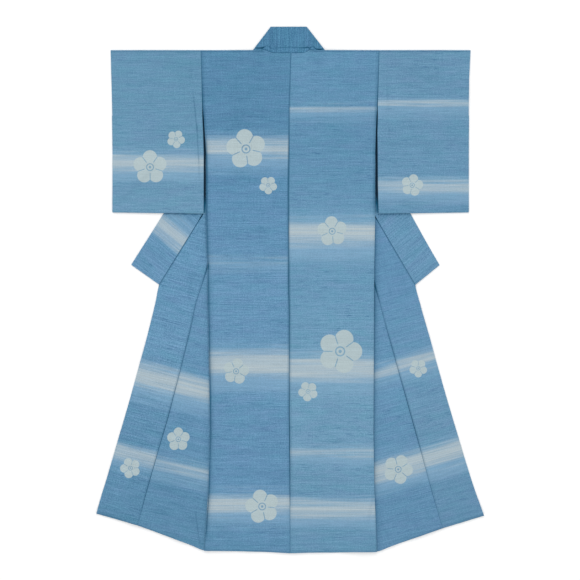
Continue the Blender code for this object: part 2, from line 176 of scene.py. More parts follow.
def foldOut(side, down):  # the slanting fold, straight from the neck to its foot
    return lineOut((side["neck"], 0.0), foldFoot(side), down)


def okumiSeamOut(side, down):  # straight from the neck to the hem
    return lineOut((side["neck"], 0.0), side["seamHem"], down)


def bent(side, out, down):  # out after the bend of the okumi seam: its size * exp(-(off the seam / reach)^2)
    reach = cloth["bendReach"]
    size = readSide(okumiBend, side, down) * smooth((down - okumiBend[0, 0]) / reach)
    return out + size * np.exp(-(((out - okumiSeamOut(side, down)) / reach) ** 2))


def collarSlope(side):  # how far out the collar goes for each metre down
    return (side["tipIn"][0] - side["collarIn"][0]) / (side["tipIn"][1] - side["collarIn"][1])


def collarSeamOut(side, down):  # the collar's inner edge, a straight line
    return lineOut(side["collarIn"], side["tipIn"], down)


def collarEdgeOut(side, down):  # its outer edge, two straight lines
    nearShoulder = garment["collarTopOut"] + garment["collarTopSlope"] * down
    return np.maximum(lineOut(side["collarOut"], side["tipOut"], down), nearShoulder)


def backEdgeOut(side, down):  # the back's side edge
    return readSide(backEdges, side, down)


def sleeveEdgeOut(side, down, cuff):  # the sleeve's inner edge, or its cuff where cuff is 1
    return readTable(sleeveEdges, down, onSide(side, 1, 3) + cuff)


def sleeveFootDown(share):  # the sleeve's foot, from the inner edge to the cuff
    return garment["sleeveFootIn"] + share * (garment["sleeveFootOut"] - garment["sleeveFootIn"])


def centreEdgeOut(side, down):  # half a seam gap off the wandering centre seam
    return side["sign"] * readTable(centreSeam, down, 1) + gap / 2


def neckSeamDown(side, out):  # a flat arc: dip * (1 - (out / reach)^power)
    reach, power = side["neckArc"]
    return garment["neckDip"] * (1 - np.clip(out / reach, 0.0, 1.0) ** power)


def liftOverFronts(across, down):  # what the turned fronts and the collar lift
    lift = np.zeros(np.broadcast(across, down).shape)
    for side in sides.values():
        out = side["sign"] * across
        inner = np.minimum(foldOut(side, down), collarSeamOut(side, down))
        lift = np.maximum(lift, fade(inner - out) * fade(out - collarEdgeOut(side, down)))
    return level * lift


def liftOverTucks(across, down):  # what the tucked fronts and the neck band lift
    hold = gone(down, garment["neckHold"], garment["neckHoldRun"])
    lift = hold * np.ones(np.broadcast(across, down).shape)
    for side in sides.values():
        lift = np.maximum(lift, fade(foldOut(side, down) - side["sign"] * across))
    return level * lift


# broad waves that every layer shares: one row per wave, columns height, length across, length down, start
waves = {
    "easeRows": np.array([
        (0.0004, 0.83, 0.61, 0.4), (0.00032, -0.47, 0.92, 2.1), (0.00026, 0.36, -0.55, 4.0),
        (0.00022, 1.3, 0.31, 1.2), (0.00018, -0.29, 0.24, 5.3),
    ]),
    "hemRows": np.array([
        (0.0009, 0.21, 0.9, 0.3), (0.0006, 0.127, -0.6, 1.9), (0.0004, 0.083, 0.8, 4.4),
    ]),
    "hemAt": ([0.0, 0.30, 0.54, 0.68], [1.7745, 1.7665, 1.678, 1.636]),    # across, down
    "hemReach": 0.10,
}


def waveSum(rows, across, down):
    # sum of height * (1 + sin(2 pi (across / length across + down / length down) + start))
    total = 0.0
    for height, longAcross, longDown, start in rows:
        phase = 2 * np.pi * (across / longAcross + down / longDown) + start
        total = total + height * (1 + np.sin(phase))
    return total


def easeHeight(across, down):
    # the waves, and the hem's own, from nothing hemReach above it to their full height at the hem
    hem = np.interp(np.abs(across), *waves["hemAt"])
    near = smooth(1 - (hem - down) / waves["hemReach"])
    return waveSum(waves["easeRows"], across, down) + near * waveSum(waves["hemRows"], across, down)


def place(across, down, height):  # garment's out and down to the frame's metres
    across, down, height = np.broadcast_arrays(across, down, height)
    height = height + easeHeight(across, down)
    return np.stack([across - middleAcross, middleDown - down, height], axis=-1)


def placeRound(line, spot, around, low, lift):
    # cloth that turns round a line, height = low + lift * (1 + cos(around)) / 2 + half its wall
    # it rises with the waves at that line, so that its layers stay together
    points = place(*spot, low + lift * (1 + np.cos(around)) / 2 + thick / 2)
    points[..., 2] += easeHeight(*line) - easeHeight(*spot)
    return points


# creases, listed one by one
# a row is (start out, start down, end out, end down, rise of its ridge, half width, shade of its flank)

creases = {
    "sleeve_left": [
        (0.335, 0.15, 0.32, 0.29, 0.0006, 0.0022, 0.34), (0.3225, 0.255, 0.3146, 0.4, 0.0006, 0.0022, 0.34),
        (0.3155, 0.375, 0.3125, 0.455, 0.0004, 0.0024, 0.18), (0.345, 0.03, 0.338, 0.12, 0.0004, 0.005, 0.08),
        (0.47, 0.42, 0.59, 0.54, 0.0004, 0.008, 0.08),
    ],
    "sleeve_right": [
        (0.342, 0.06, 0.352, 0.33, 0.0004, 0.0045, 0.08), (0.52, 0.38, 0.61, 0.3, 0.0004, 0.008, 0.08),
    ],
    "back_left": [
        (0.286, 1.655, 0.268, 1.745, 0.0006, 0.0045, 0.08), (0.085, 0.012, 0.135, 0.09, 0.0005, 0.008, 0.08),
        (0.284, 1.18, 0.262, 1.32, 0.0004, 0.007, 0.08),
    ],
    "back_right": [
        (0.072, 0.014, 0.118, 0.082, 0.0005, 0.008, 0.08), (0.296, 1.56, 0.272, 1.69, 0.0005, 0.006, 0.08),
    ],
    "front_left": [
        (0.3262, 1.632, 0.3185, 1.692, 0.0006, 0.0025, 0.36),
        (0.32, 1.68, 0.3098, 1.75, 0.0006, 0.0025, 0.34), (0.352, 1.64, 0.324, 1.69, 0.0005, 0.0035, 0.16),
    ],
    "front_right": [
        (0.318, 1.655, 0.352, 1.715, 0.0006, 0.004, 0.08), (0.316, 1.61, 0.33, 1.69, 0.0005, 0.004, 0.08),
    ],
    "okumi_left": [(0.33, 0.76, 0.352, 0.905, 0.0004, 0.005, 0.08)],
    "okumi_right": [(0.33, 0.74, 0.36, 0.89, 0.0004, 0.005, 0.08)],
}

# how a crease fades at its ends, the trough beside its ridge, and where its flank is darkest
creaseForm = {"endStart": 0.3, "endRise": 4, "trough": 0.35, "troughWidth": 2.2, "shadeOff": 0.7}


def creased(part, out, down):
    # the height of a part's creases and the shade of their flanks, faded at both ends of each
    # across one, ridge = rise * exp(-(off / width)^2), with a shallow trough on each side
    height, shade = np.zeros((2, *np.broadcast(out, down).shape))
    steep, start = creaseForm["endRise"], creaseForm["endStart"]
    for x0, y0, x1, y1, rise, width, flank in creases.get(part, ()):
        long = math.hypot(x1 - x0, y1 - y0)
        along = ((out - x0) * (x1 - x0) + (down - y0) * (y1 - y0)) / long**2
        off = ((out - x0) * (y1 - y0) - (down - y0) * (x1 - x0)) / long / width
        ends = smooth(along * steep + start) * smooth((1 - along) * steep + start)
        trough = creaseForm["trough"] * np.exp(-((off / creaseForm["troughWidth"]) ** 2))
        height += rise * ends * (np.exp(-(off**2)) - trough)
        shade += flank * ends * np.exp(-((off - creaseForm["shadeOff"]) ** 2))
    return height, shade


# how much painted shade edges, seams and folds get: shares of the painted seam-shade colour up to 1, past it
# towards the painted shadow of a deep slit
deepShade = 2.0
contact = {
    "slitStart": 0.212, "slitEase": 0.008, "seamFade": (0.235, 0.060), "seamTop": 0.85, "seamFoot": 1.70,
    "foot": 1.00, "footRun": 0.0036, "footSoft": 0.36, "footSoftRun": 0.0090,
    "footIn": 0.004, "footInRun": 0.006,
    "fold": 0.42, "foldAt": 0.0042, "foldRun": 0.0019,
    "hem": 0.30, "hemRun": 0.0014, "sleeveHem": 0.50, "sleeveHemRun": 0.0026,
    "armholeRun": 0.0013, "centreRun": 0.0012,
}

# painted shade at the edge of the back: columns down, then share and run on the back at the left and at the
# right, then share on the front beside it at the left and at the right
edgeTone = {
    "rows": np.array([
        (0.215, 0.5, 0.003, 0.9, 0.0012, 0.6, 0.4), (0.29, 0.6, 0.004, 0.9, 0.0012, 0.6, 0.4),
        (0.325, 1.15, 0.0045, 0.9, 0.0014, 0.6, 0.4), (0.37, 1.25, 0.0042, 1.0, 0.0014, 0.6, 0.4),
        (0.45, 1.3, 0.0034, 0.9, 0.002, 0.6, 0.5), (0.545, 1.2, 0.0036, 0.8, 0.0055, 0.6, 0.6),
        (0.6, 1.0, 0.005, 0.25, 0.0022, 0.8, 0.6), (0.7, 1.0, 0.0055, 0.15, 0.0022, 0.78, 0.88),
        (0.746, 1.0, 0.0055, 0.15, 0.0022, 0.8, 0.88), (0.761, 1.7, 0.005, 0.15, 0.0022, 1.3, 0.88),
        (0.778, 1.0, 0.0055, 0.15, 0.0022, 0.62, 0.88), (1.05, 1.1, 0.0055, 0.15, 0.0022, 0.6, 0.84),
        (1.2, 1.25, 0.0055, 0.15, 0.0022, 0.55, 0.76), (1.45, 1.0, 0.0055, 0.15, 0.0022, 0.5, 0.68),
        (1.56, 1.2, 0.0055, 0.18, 0.0022, 0.45, 0.6), (1.69, 1.2, 0.0055, 0.2, 0.0022, 0.3, 0.48),
        (1.73, 0.5, 0.0055, 0.3, 0.0022, 0.2, 0.35), (1.75, 0.1, 0.005, 0.35, 0.0022, 0.12, 0.3),
        (1.77, 0.1, 0.005, 0.4, 0.0022, 0.12, 0.25),
    ]),
    "frontRun": {"left": 0.0030, "right": 0.0065},
    # a wide soft painted shadow on the front beside the back's edge
    "wideShadow": 0.10, "wideShadowRun": 0.018,
}

# how much painted shade the seams get along their length; columns: down, centre, okumi seam at the left, at
# the right
seamTone = np.array([
    (0.0, 0.62, 1.0, 1.0), (0.16, 0.62, 1.0, 1.0), (0.25, 0.78, 1.0, 1.0), (0.35, 1.15, 1.0, 1.0),
    (0.72, 1.18, 1.5, 1.0), (0.765, 1.35, 1.6, 1.2), (0.81, 1.5, 1.1, 1.5), (0.85, 1.47, 0.9, 1.4),
    (0.895, 1.45, 1.0, 0.7), (0.95, 1.43, 1.1, 0.8), (1.04, 1.4, 1.3, 1.4), (1.12, 1.3, 1.1, 1.1),
    (1.23, 1.6, 1.5, 1.6), (1.35, 1.68, 1.6, 1.7), (1.42, 1.72, 1.2, 1.1), (1.5, 1.65, 1.5, 0.8),
    (1.57, 1.45, 1.5, 1.0), (1.61, 0.95, 1.2, 0.7), (1.65, 0.85, 0.5, 0.6), (1.69, 0.8, 0.3, 0.5),
    (1.775, 0.75, 0.3, 0.5),
])
collarSeamTone = {
    "left": 1.30, "right": 1.15, "width": 0.0008,
    "apexDown": 0.589, "apexRun": 0.009, "apex": 0.9, "apexWiden": 0.0006,
}


def seamShade(distance, width=0.0008):  # 1 on the seam, gone a few millimetres off it
    return np.exp(-((distance / width) ** 2))


def darkest(*shades):  # the strongest of several, point by point
    return np.maximum.reduce(np.broadcast_arrays(*shades))


def okumiShadeLine(side, down, distance):  # painted shade in the okumi seam's groove
    return readTable(seamTone, down, onSide(side, 2, 3)) * seamShade(distance)


def collarShadeLine(side, down, distance):
    # painted shade along the collar's seam, darkest where it comes out from under the sleeve and the back
    apex = seamShade(down - collarSeamTone["apexDown"], collarSeamTone["apexRun"])
    tone = collarSeamTone[onSide(side, "left", "right")] * (1 + collarSeamTone["apex"] * apex)
    return tone * seamShade(distance, collarSeamTone["width"] + collarSeamTone["apexWiden"] * apex)


def underSleeveShadow(side, out, down):  # painted shadow on a cloth that comes out from under the sleeve's foot
    inner = sleeveEdgeOut(side, garment["sleeveFootIn"], 0)
    cuff = sleeveEdgeOut(side, garment["sleeveFootOut"], 1)
    off = down - sleeveFootDown(np.clip((out - inner) / (cuff - inner), 0.0, 1.0))
    near = contact["foot"] * seamShade(off, contact["footRun"])
    soft = contact["footSoft"] * np.exp(-np.abs(off) / contact["footSoftRun"])
    return smooth((out - inner + contact["footIn"]) / contact["footInRun"]) * darkest(near, soft)


def besideBackShadow(side, out, down):  # painted shadow where a front goes in under the back's side edge or the sleeve's foot
    off = np.clip(out - backEdgeOut(side, down), 0.0, None)
    run = edgeTone["frontRun"][onSide(side, "left", "right")]
    beside = readTable(edgeTone["rows"], down, onSide(side, 5, 6)) * np.exp(-off / run)
    beside = beside + edgeTone["wideShadow"] * seamShade(off, edgeTone["wideShadowRun"])
    return darkest(beside, underSleeveShadow(side, out, down))


def edgeShadeLine(distance, kind):  # painted shade along a fold's or a hem's thin edge
    return contact[kind] * seamShade(distance, contact[kind + "Run"])


def armhole(down):  # 0 on the sewn part of the armhole, 1 along the slit under it
    return smooth((down - contact["slitStart"] + contact["slitEase"]) / (2 * contact["slitEase"]))


def armholeSeamShade(down):  # how much painted shade the armhole's seam gets, more towards its foot
    share = np.clip(down / contact["slitStart"], 0.0, 1.0) ** 2
    tone = contact["seamTop"] + (contact["seamFoot"] - contact["seamTop"]) * share
    return gone(down, *contact["seamFade"]) * tone


def edgeShade(side, out, down):
    # painted shade along the back's side edge: sewn to the sleeve, then turned down in the slit, then plain
    off = np.clip(backEdgeOut(side, down) - out, 0.0, None)
    column = onSide(side, 1, 3)
    share, run = (readTable(edgeTone["rows"], down, column + step) for step in (0, 1))
    edge = armhole(down) * share * np.exp(-off / run)
    return darkest(armholeSeamShade(down) * seamShade(off, contact["armholeRun"]), edge)


# sheets: grids of points with their place on the cut cloth, welded and given a wall

sheetWall = {"weld": 0.00004, "bevel": 0.0005, "bevelSegments": 2, "bevelAngle": 50}


def crowd(count, near=0.003, fine=None):
    # shares from 0 to 1, with extra ones close to both ends for the seams, and fine ones of (from, to, count)
    ends = np.array([0.0, 0.25, 0.6, 1.0]) * near
    shares = np.concatenate([ends, np.linspace(2 * near, 1 - 2 * near, count), 1 - ends[::-1]])
    return shares if fine is None else np.unique(np.concatenate([shares, np.linspace(*fine)]))


def cells(points, cut, shade=None):
    # one grid of the cloth: points (rows, columns, 3), cut (rows, columns, 2) in metres, shade from 0 up
    shade = np.zeros(points.shape[:2]) if shade is None else np.broadcast_to(shade, points.shape[:2])
    return {"points": points, "cut": np.broadcast_to(cut, (*points.shape[:2], 2)), "shade": shade}


def makeSheet(name, grids, walled=True):
    # one mesh of all the grids; each face's corners keep their place on the cut cloth and their shade
    points, quads, cut, shade, count = [], [], [], [], 0
    for grid in grids:
        rows, columns = grid["points"].shape[:2]
        number = np.arange(rows * columns).reshape(rows, columns)
        corners = (number[:-1, :-1], number[:-1, 1:], number[1:, 1:], number[1:, :-1])
        quad = np.stack(corners, axis=-1).reshape(-1, 4)
        points.append(grid["points"].reshape(-1, 3))
        quads.append(quad + count)
        cut.append(grid["cut"].reshape(-1, 2)[quad.ravel()])
        shade.append(grid["shade"].reshape(-1)[quad.ravel()])
        count += rows * columns
    points, quads = np.concatenate(points), np.concatenate(quads)
    mesh = bpy.data.meshes.new(name)
    mesh.vertices.add(len(points))
    mesh.vertices.foreach_set("co", points.ravel())
    mesh.loops.add(quads.size)
    mesh.loops.foreach_set("vertex_index", quads.ravel())
    mesh.polygons.add(len(quads))
    mesh.polygons.foreach_set("loop_start", np.arange(0, quads.size, 4))
    mesh.update(calc_edges=True)
    mesh.uv_layers.new(name="cut").data.foreach_set("uv", np.concatenate(cut).ravel())
    mesh.attributes.new("shade", "FLOAT", "CORNER").data.foreach_set("value", np.concatenate(shade))
    work = bmesh.new()
    work.from_mesh(mesh)
    bmesh.ops.remove_doubles(work, verts=work.verts, dist=sheetWall["weld"])
    bmesh.ops.recalc_face_normals(work, faces=work.faces)
    work.to_mesh(mesh)
    work.free()
    mesh.shade_smooth()
    piece = bpy.data.objects.new(name, mesh)
    bpy.context.scene.collection.objects.link(piece)
    if walled:
        wall = piece.modifiers.new("wall", "SOLIDIFY")
        wall.thickness = thick
        wall.offset = 0
    edge = piece.modifiers.new("edge", "BEVEL")
    edge.width = sheetWall["bevel"]
    edge.segments = sheetWall["bevelSegments"]
    edge.limit_method = "ANGLE"
    edge.angle_limit = math.radians(sheetWall["bevelAngle"])
    return piece


print("sizes and cloth functions ready")

# body: back, shoulder fold, tucked front, slanting fold and turned front in one length

body = {
    "rows": 200,
    "rowPower": 1.15,       # rows lie closer near the shoulder
    "foldRows": [0.0008, 0.0016],
    "outerColumns": 20,
    "innerColumns": 26,
    "turnedColumns": 34,
    "creaseColumns": (0.04, 0.24, 44),      # finer columns of the turned front, where it creases near the hem
    "foldSteps": 8,
    "foldTone": 0.4,        # the shoulder fold's share of the fold line's painted shade
    "tuckRun": 0.004,       # how far in from the side edge the tucked front gets painted deep shadow
    "seamSteps": 4,
    "seamSwell": 0.6,       # how round the side seam turns
    "seamSwellRun": 0.03,
    "apexBelow": 0.012,
    "hemLine": 0.012,       # the hem's turned-up edge shows this far above it
    "hemRidge": 0.00045, "hemRidgeRun": 0.0022,
    "centreRidge": 0.0005, "centreRidgeAt": 0.0035, "centreRidgeRun": 0.0025,
    "cornerDrop": 0.0026, "cornerRun": 0.030, "cornerRise": 0.06,
    "cornerPeak": 2.33,     # brings the most of t exp(-t^2) to 1
}


def apexDown(side):  # where the slanting fold comes out from under the collar seam
    footOut, footDown = foldFoot(side)
    collarStart = side["tipIn"][0] - collarSlope(side) * side["tipIn"][1]
    slopes = collarSlope(side) - (footOut - side["neck"]) / footDown
    return (side["neck"] - collarStart) / slopes + body["apexBelow"]


def turnedCut(side, out, down):
    # mirror of a turned point in the slanting fold: its place on the cut cloth, front down is negative
    footOut, footDown = foldFoot(side)
    run = np.array([footOut - side["neck"], footDown])
    run = run / np.hypot(*run)
    x, y = out - side["neck"], down
    along = x * run[0] + y * run[1]
    return pairs(2 * along * run[0] - x + side["neck"], -(2 * along * run[1] - y))


def turnedHem(side, out):  # the hem's line under the turned front
    (x0, y0), (x1, y1) = side["sideHem"], side["seamHem"]
    return y0 + (y1 - y0) / (x1 - x0) * (out - x0)


def turnedEnd(side, crease, down):
    # the far end of a turned row: on the okumi seam, or above it on the collar seam
    endDown = down * side["seamHem"][1] / side["sideHem"][1]
    endOut = okumiSeamOut(side, endDown) - gap
    over = endOut - (collarSeamOut(side, endDown) - gap)
    startOver = crease - (collarSeamOut(side, down) - gap)
    share = np.where(over > 0, startOver / np.where(over > 0, startOver - over, 1.0), 1.0)
    return crease + share * (endOut - crease), down + share * (endDown - down)


def backHem(side, out, edge):  # a straight line from the centre seam to the side edge, and its bend
    line = np.interp(out, [0.0, edge], [garment["lengthAtCentre"], side["sideHem"][1]])
    return line + readSide(hemBend, side, out)


def hemRidge(fromHem):  # the turned-up cloth shows as a low ridge
    return body["hemRidge"] * seamShade(fromHem - body["hemLine"], body["hemRidgeRun"])


def backPart(name, side, out, down, hem):
    # height = what lies under it + its creases + a ridge beside the centre seam + the hem's ridge
    across = side["sign"] * out
    rise, dark = creased("back_" + name, out, down)
    fromCentre = out - centreEdgeOut(side, down)
    ridge = body["centreRidge"] * seamShade(fromCentre - body["centreRidgeAt"], body["centreRidgeRun"])
    ridge = ridge * (side["sign"] > 0) + hemRidge(hem - down)
    height = liftOverFronts(across, down) + liftOverTucks(across, down) + thick / 2 + rise + ridge
    # painted shade along the centre seam, the side edge, the hem and the crease flanks, and a line below the
    # shoulder fold
    seam = readTable(seamTone, down, 1) * seamShade(fromCentre, contact["centreRun"])
    fold = edgeShadeLine(down - contact["foldAt"], "fold") * (out > side["neck"])
    shade = darkest(seam, edgeShade(side, out, down), edgeShadeLine(hem - down, "hem") + dark, fold)
    return cells(place(across, down, height), pairs(out, down), shade)


def bodyGrids(name, side):
    sign, hemDown = side["sign"], side["sideHem"][1]
    share = np.linspace(0.0, 1.0, body["rows"] + 1) ** body["rowPower"]
    share = np.sort(np.concatenate([share, body["foldRows"]]))[:, None]
    toFold = crowd(body["outerColumns"])[None, :]
    pastFold = crowd(body["innerColumns"])[None, :]
    turn = np.linspace(0.0, math.pi, body["foldSteps"] + 1)

    # back outside the fold's column: out = edge + s (crease - edge), down = share of the length
    down = foldReach + share * (hemDown - foldReach)
    edge, crease = backEdgeOut(side, down), foldOut(side, down) + foldReach
    outerOut = edge + toFold * (crease - edge)
    hem = backHem(side, outerOut, edge[-1, 0])
    outerDown = foldReach + share * (hem - foldReach)
    grids = [backPart(name, side, outerOut, outerDown, hem)]

    # back from the fold's column to the centre seam, its top on the neck curve
    inner = crease + pastFold * (centreEdgeOut(side, down) - crease)
    top = neckSeamDown(side, inner) + gap
    top[:, 0] = foldReach
    hem = backHem(side, inner, edge[-1, 0])
    grids.append(backPart(name, side, inner, top + share * (hem - top), hem))

    # shoulder fold: a half turn of the cloth's radius round the line where both layers meet
    around = turn[:, None]
    line = sign * outerOut[:1], outerDown[:1]
    spot = line[0], line[1] - foldRadius * np.sin(around)
    points = placeRound(line, spot, around, liftOverFronts(*line), liftOverTucks(*line))
    cut = pairs(outerOut[:1], foldRadius * (math.pi / 2 - around))
    # the turn carries a share of the fold line's painted shade
    grids.append(cells(points, cut, np.full(cut.shape[:2], body["foldTone"] * contact["fold"])))

    # tucked front, under the back, with painted deep shadow near the back's side edge
    points = place(sign * outerOut, outerDown, liftOverFronts(sign * outerOut, outerDown) + thick / 2)
    shade = deepShade * seamShade(backEdgeOut(side, outerDown) - outerOut, body["tuckRun"])
    grids.append(cells(points, pairs(outerOut, -outerDown), shade))

    # side seam, a half turn at the edge below the opening under the sleeve
    sewn = outerDown[:, 0] >= garment["sideSeamStart"]
    edgeOut, edgeDown = outerOut[sewn, :1], outerDown[sewn, :1]
    arc = np.linspace(0.0, math.pi, body["seamSteps"] + 1)[None, :]
    swell = body["seamSwell"] * smooth((edgeDown - garment["sideSeamStart"]) / body["seamSwellRun"])
    seamOut = edgeOut + swell * foldRadius * np.sin(arc)
    line = sign * edgeOut, edgeDown
    points = placeRound(line, (sign * seamOut, edgeDown), arc, liftOverFronts(*line), liftOverTucks(*line))
    points[:, 0, 2] += creased("back_" + name, edgeOut, edgeDown)[0][:, 0]
    grids.append(cells(points, pairs(seamOut, edgeDown)))

    # slanting fold: a half turn, one row for each row of the tucked front below the apex
    below = outerDown[:, -1] > apexDown(side)
    crease, creaseDown = outerOut[below, -1:], outerDown[below, -1:]
    around = turn[None, :]
    bendOut = crease - foldRadius * np.sin(around)
    line = sign * crease, creaseDown
    points = placeRound(line, (sign * bendOut, creaseDown), around, 0.0, liftOverFronts(*line))
    grids.append(cells(points, pairs(bendOut, -creaseDown)))

    # turned front: each row goes on from the fold to its end, point = crease + s (end - crease)
    endOut, endDown = turnedEnd(side, crease, creaseDown)
    reach = crowd(body["turnedColumns"], fine=body["creaseColumns"])[None, :]
    out = crease + reach * (endOut - crease)
    down = creaseDown + reach * (endDown - creaseDown)
    fromHem = turnedHem(side, out) - down
    rise, dark = creased("front_" + name, out, down)
    # painted shade along the okumi and collar seams, beside the back's edge, along the hem and on the crease
    # flanks
    okumiSeamShade = okumiShadeLine(side, down, okumiSeamOut(side, down) - out)
    collarSeamShade = collarShadeLine(side, down, collarSeamOut(side, down) - out)
    seams = darkest(okumiSeamShade, collarSeamShade) + besideBackShadow(side, out, down)
    shade = darkest(seams, edgeShadeLine(fromHem, "hem") + dark)

    # the corner by the fold hangs by cornerDrop * peak * t exp(-t^2), where t is the way past the fold
    past = (out - crease) / body["cornerRun"]
    hang = body["cornerPeak"] * past * np.exp(-(past**2)) * smooth(1 - fromHem / body["cornerRise"])
    height = thick / 2 + rise + hemRidge(fromHem)
    points = place(sign * bent(side, out, down), down + body["cornerDrop"] * hang, height)
    grids.append(cells(points, turnedCut(side, out, down), shade))
    return grids


pieces = {}
for name, side in sides.items():
    pieces["body_" + name] = makeSheet("bodyCloth_" + name, bodyGrids(name, side))
print("body lengths laid")

# okumi: the strips between the fronts and their open edges

okumi = {"rows": 150, "columns": 22, "startPast": 0.030, "collarClear": 2.5}


def okumiGrid(name, side):
    # a point is neck + along * run + off * outward; off goes from the seam to the collar or front edge
    foot = np.array([side["seamHem"][0] - side["neck"], side["seamHem"][1]])
    long = np.hypot(*foot)
    run = foot / long
    outward = np.array([run[1], -run[0]])

    def split(corner):
        rel = np.array([corner[0] - side["neck"], corner[1]])
        return rel @ run, rel @ outward

    (tipAlong, tipOff), (hemAlong, hemOff) = split(side["tipIn"]), split(side["frontHem"])
    collarAlong, collarOff = split(side["collarIn"])
    pointAlong = tipAlong - tipOff * (tipAlong - collarAlong) / (tipOff - collarOff)
    start = pointAlong + okumi["startPast"]
    above = np.linspace(start, tipAlong, okumi["rows"] // 2 + 1)
    reach = np.concatenate([above, np.linspace(tipAlong, hemAlong, okumi["rows"] // 2 + 1)[1:]])[:, None]
    edge = np.interp(reach, [pointAlong, tipAlong, hemAlong], [0.0, tipOff, hemOff])
    pastTip = np.clip((reach - tipAlong) / (hemAlong - tipAlong), 0.0, 1.0)
    edge = edge - side["frontBow"] * np.sin(math.pi * pastTip)
    clear = gap * np.where(reach <= tipAlong, okumi["collarClear"], 1.0)
    off = gap + crowd(okumi["columns"])[None, :] * (edge - gap - clear)
    slip = np.interp(reach, [start, hemAlong], [0.0, long - hemAlong]) * (1 - off / hemOff)
    out = side["neck"] + (reach + slip) * run[0] + off * outward[0]
    down = (reach + slip) * run[1] + off * outward[1]
    (x0, y0), (x1, y1) = side["frontHem"], side["seamHem"]
    fromHem = y0 + (y1 - y0) * (out - x0) / (x1 - x0) - down
    rise, dark = creased("okumi_" + name, out, down)
    # painted shade along the seams, beside the back's edge, along the hem and on the crease flanks
    collarSide = np.where(reach <= tipAlong, collarShadeLine(side, down, edge - off), 0.0)
    seams = darkest(okumiShadeLine(side, down, off), collarSide) + besideBackShadow(side, out, down)
    shade = darkest(seams, edgeShadeLine(fromHem, "hem") + dark)
    seenOut = bent(side, out, down) + readSide(frontBend, side, down) * (off / edge) ** 2
    points = place(side["sign"] * seenOut, down, thick / 2 + rise + hemRidge(fromHem))
    return cells(points, pairs(off, -(reach + slip)), shade)


for name, side in sides.items():
    pieces["okumi_" + name] = makeSheet("okumiCloth_" + name, [okumiGrid(name, side)])
print("okumi laid")

# sleeves: one cloth each, folded at the top, shut along the foot and the lower cuff

sleeve = {
    "rows": 110, "columns": 62, "creaseColumns": (0.03, 0.14, 30), "foldSteps": 8, "seamSteps": 4,
    "cuffSwell": 0.6, "underClear": 0.0001, "seamClear": 0.0014, "seamClearRun": 0.02,
    # painted shadow on the sleeve's edge at the slit and on the under cloth in it
    "slitEdge": 0.45, "slitEdgeRun": 0.0016, "slitNear": 0.003, "slitFade": (0.002, 0.004),
}

# painted shadow in the slit near its foot; columns: above the foot, beside the sleeve, beside the body
slitShadowTone = np.array([
    (0.000, 0.95, 0.35), (0.010, 1.20, 0.75), (0.030, 1.35, 0.95), (0.065, deepShade, deepShade),
])


def halfTurn(first, second, toward, cutFirst, steps):
    # from one edge line to the other, bulging toward by the cloth's radius
    around = np.linspace(0.0, math.pi, steps + 1)[:, None, None]
    middle = (first + second) / 2 + (first - second) / 2 * np.cos(around)
    points = middle + foldRadius * np.sin(around) * toward
    return cells(points, np.broadcast_to(cutFirst, (steps + 1, *cutFirst.shape)))


def sleeveGrids(name, side):
    # rows from the top fold to the foot, columns from the armhole to the cuff: out = inner + s (cuff - inner)
    sign = side["sign"]
    share = crowd(sleeve["rows"], 0.004)[:, None]
    toCuff = crowd(sleeve["columns"], 0.008, sleeve["creaseColumns"])[None, :]
    foot = sleeveFootDown(toCuff)
    down = foldReach + share * (foot - 2 * foldReach)
    inner = sleeveEdgeOut(side, down, 0) + gap
    out = inner + toCuff * (sleeveEdgeOut(side, down, 1) - inner)
    rise, dark = creased("sleeve_" + name, out, down)
    upper = place(sign * out, down, liftOverFronts(sign * out, down) + level + thick / 2 + rise)
    # painted shade along the armhole seam, the slit's edge, the fold, the crease flanks and the foot
    sewn = armholeSeamShade(down) * seamShade(out - inner, contact["armholeRun"])
    slit = armhole(down) * sleeve["slitEdge"] * seamShade(out - inner, sleeve["slitEdgeRun"])
    folded = edgeShadeLine(down - contact["foldAt"], "fold") + dark
    shade = darkest(sewn + slit, folded, edgeShadeLine(foot - down, "sleeveHem"))

    # the under cloth reaches on across the slit as far as the body's side edge, and carries the slit's
    # painted shadow there
    clearRun = sleeve["seamClearRun"]
    besideSeam = smooth((down - garment["sideSeamStart"] + clearRun) / clearRun)
    clear = sleeve["underClear"] + sleeve["seamClear"] * besideSeam
    reachIn = np.maximum(inner - backEdgeOut(side, down) - clear, 0.0) * armhole(down)
    underOut = out - reachIn * (1 - toCuff)
    lower = place(sign * underOut, down, liftOverFronts(sign * underOut, down) + thick / 2)
    # painted shadow of the slit on the under cloth, darkest beside the sleeve
    aboveFoot = garment["sleeveFootIn"] - down
    besideSleeve, besideBody = readTable(slitShadowTone, aboveFoot, 1), readTable(slitShadowTone, aboveFoot, 2)
    near = seamShade(np.clip(inner - underOut, 0.0, None), sleeve["slitNear"])
    inSlit = besideBody + (besideSleeve - besideBody) * near
    inSlit = inSlit * armhole(down) * gone(underOut - inner, *sleeve["slitFade"])
    cut = pairs(out, down)
    grids = [cells(upper, cut, shade), cells(lower, pairs(underOut, -down), inSlit)]

    # half turns close the top, the foot and the cuff below the hand opening
    north, outward = np.array([0.0, 1.0, 0.0]), np.array([float(sign), 0.0, 0.0]) * sleeve["cuffSwell"]
    shut = down[:, -1] >= garment["cuffOpening"]
    grids.append(halfTurn(upper[0], lower[0], north, cut[0], sleeve["foldSteps"]))
    grids.append(halfTurn(upper[-1], lower[-1], -north, cut[-1], sleeve["foldSteps"]))
    grids.append(halfTurn(upper[shut, -1], lower[shut, -1], outward, cut[shut, -1], sleeve["seamSteps"]))
    return grids


for name, side in sides.items():
    pieces["sleeve_" + name] = makeSheet("sleeveCloth_" + name, sleeveGrids(name, side))
print("sleeves laid")

# collar: one strip up a front, round the neck and down the other

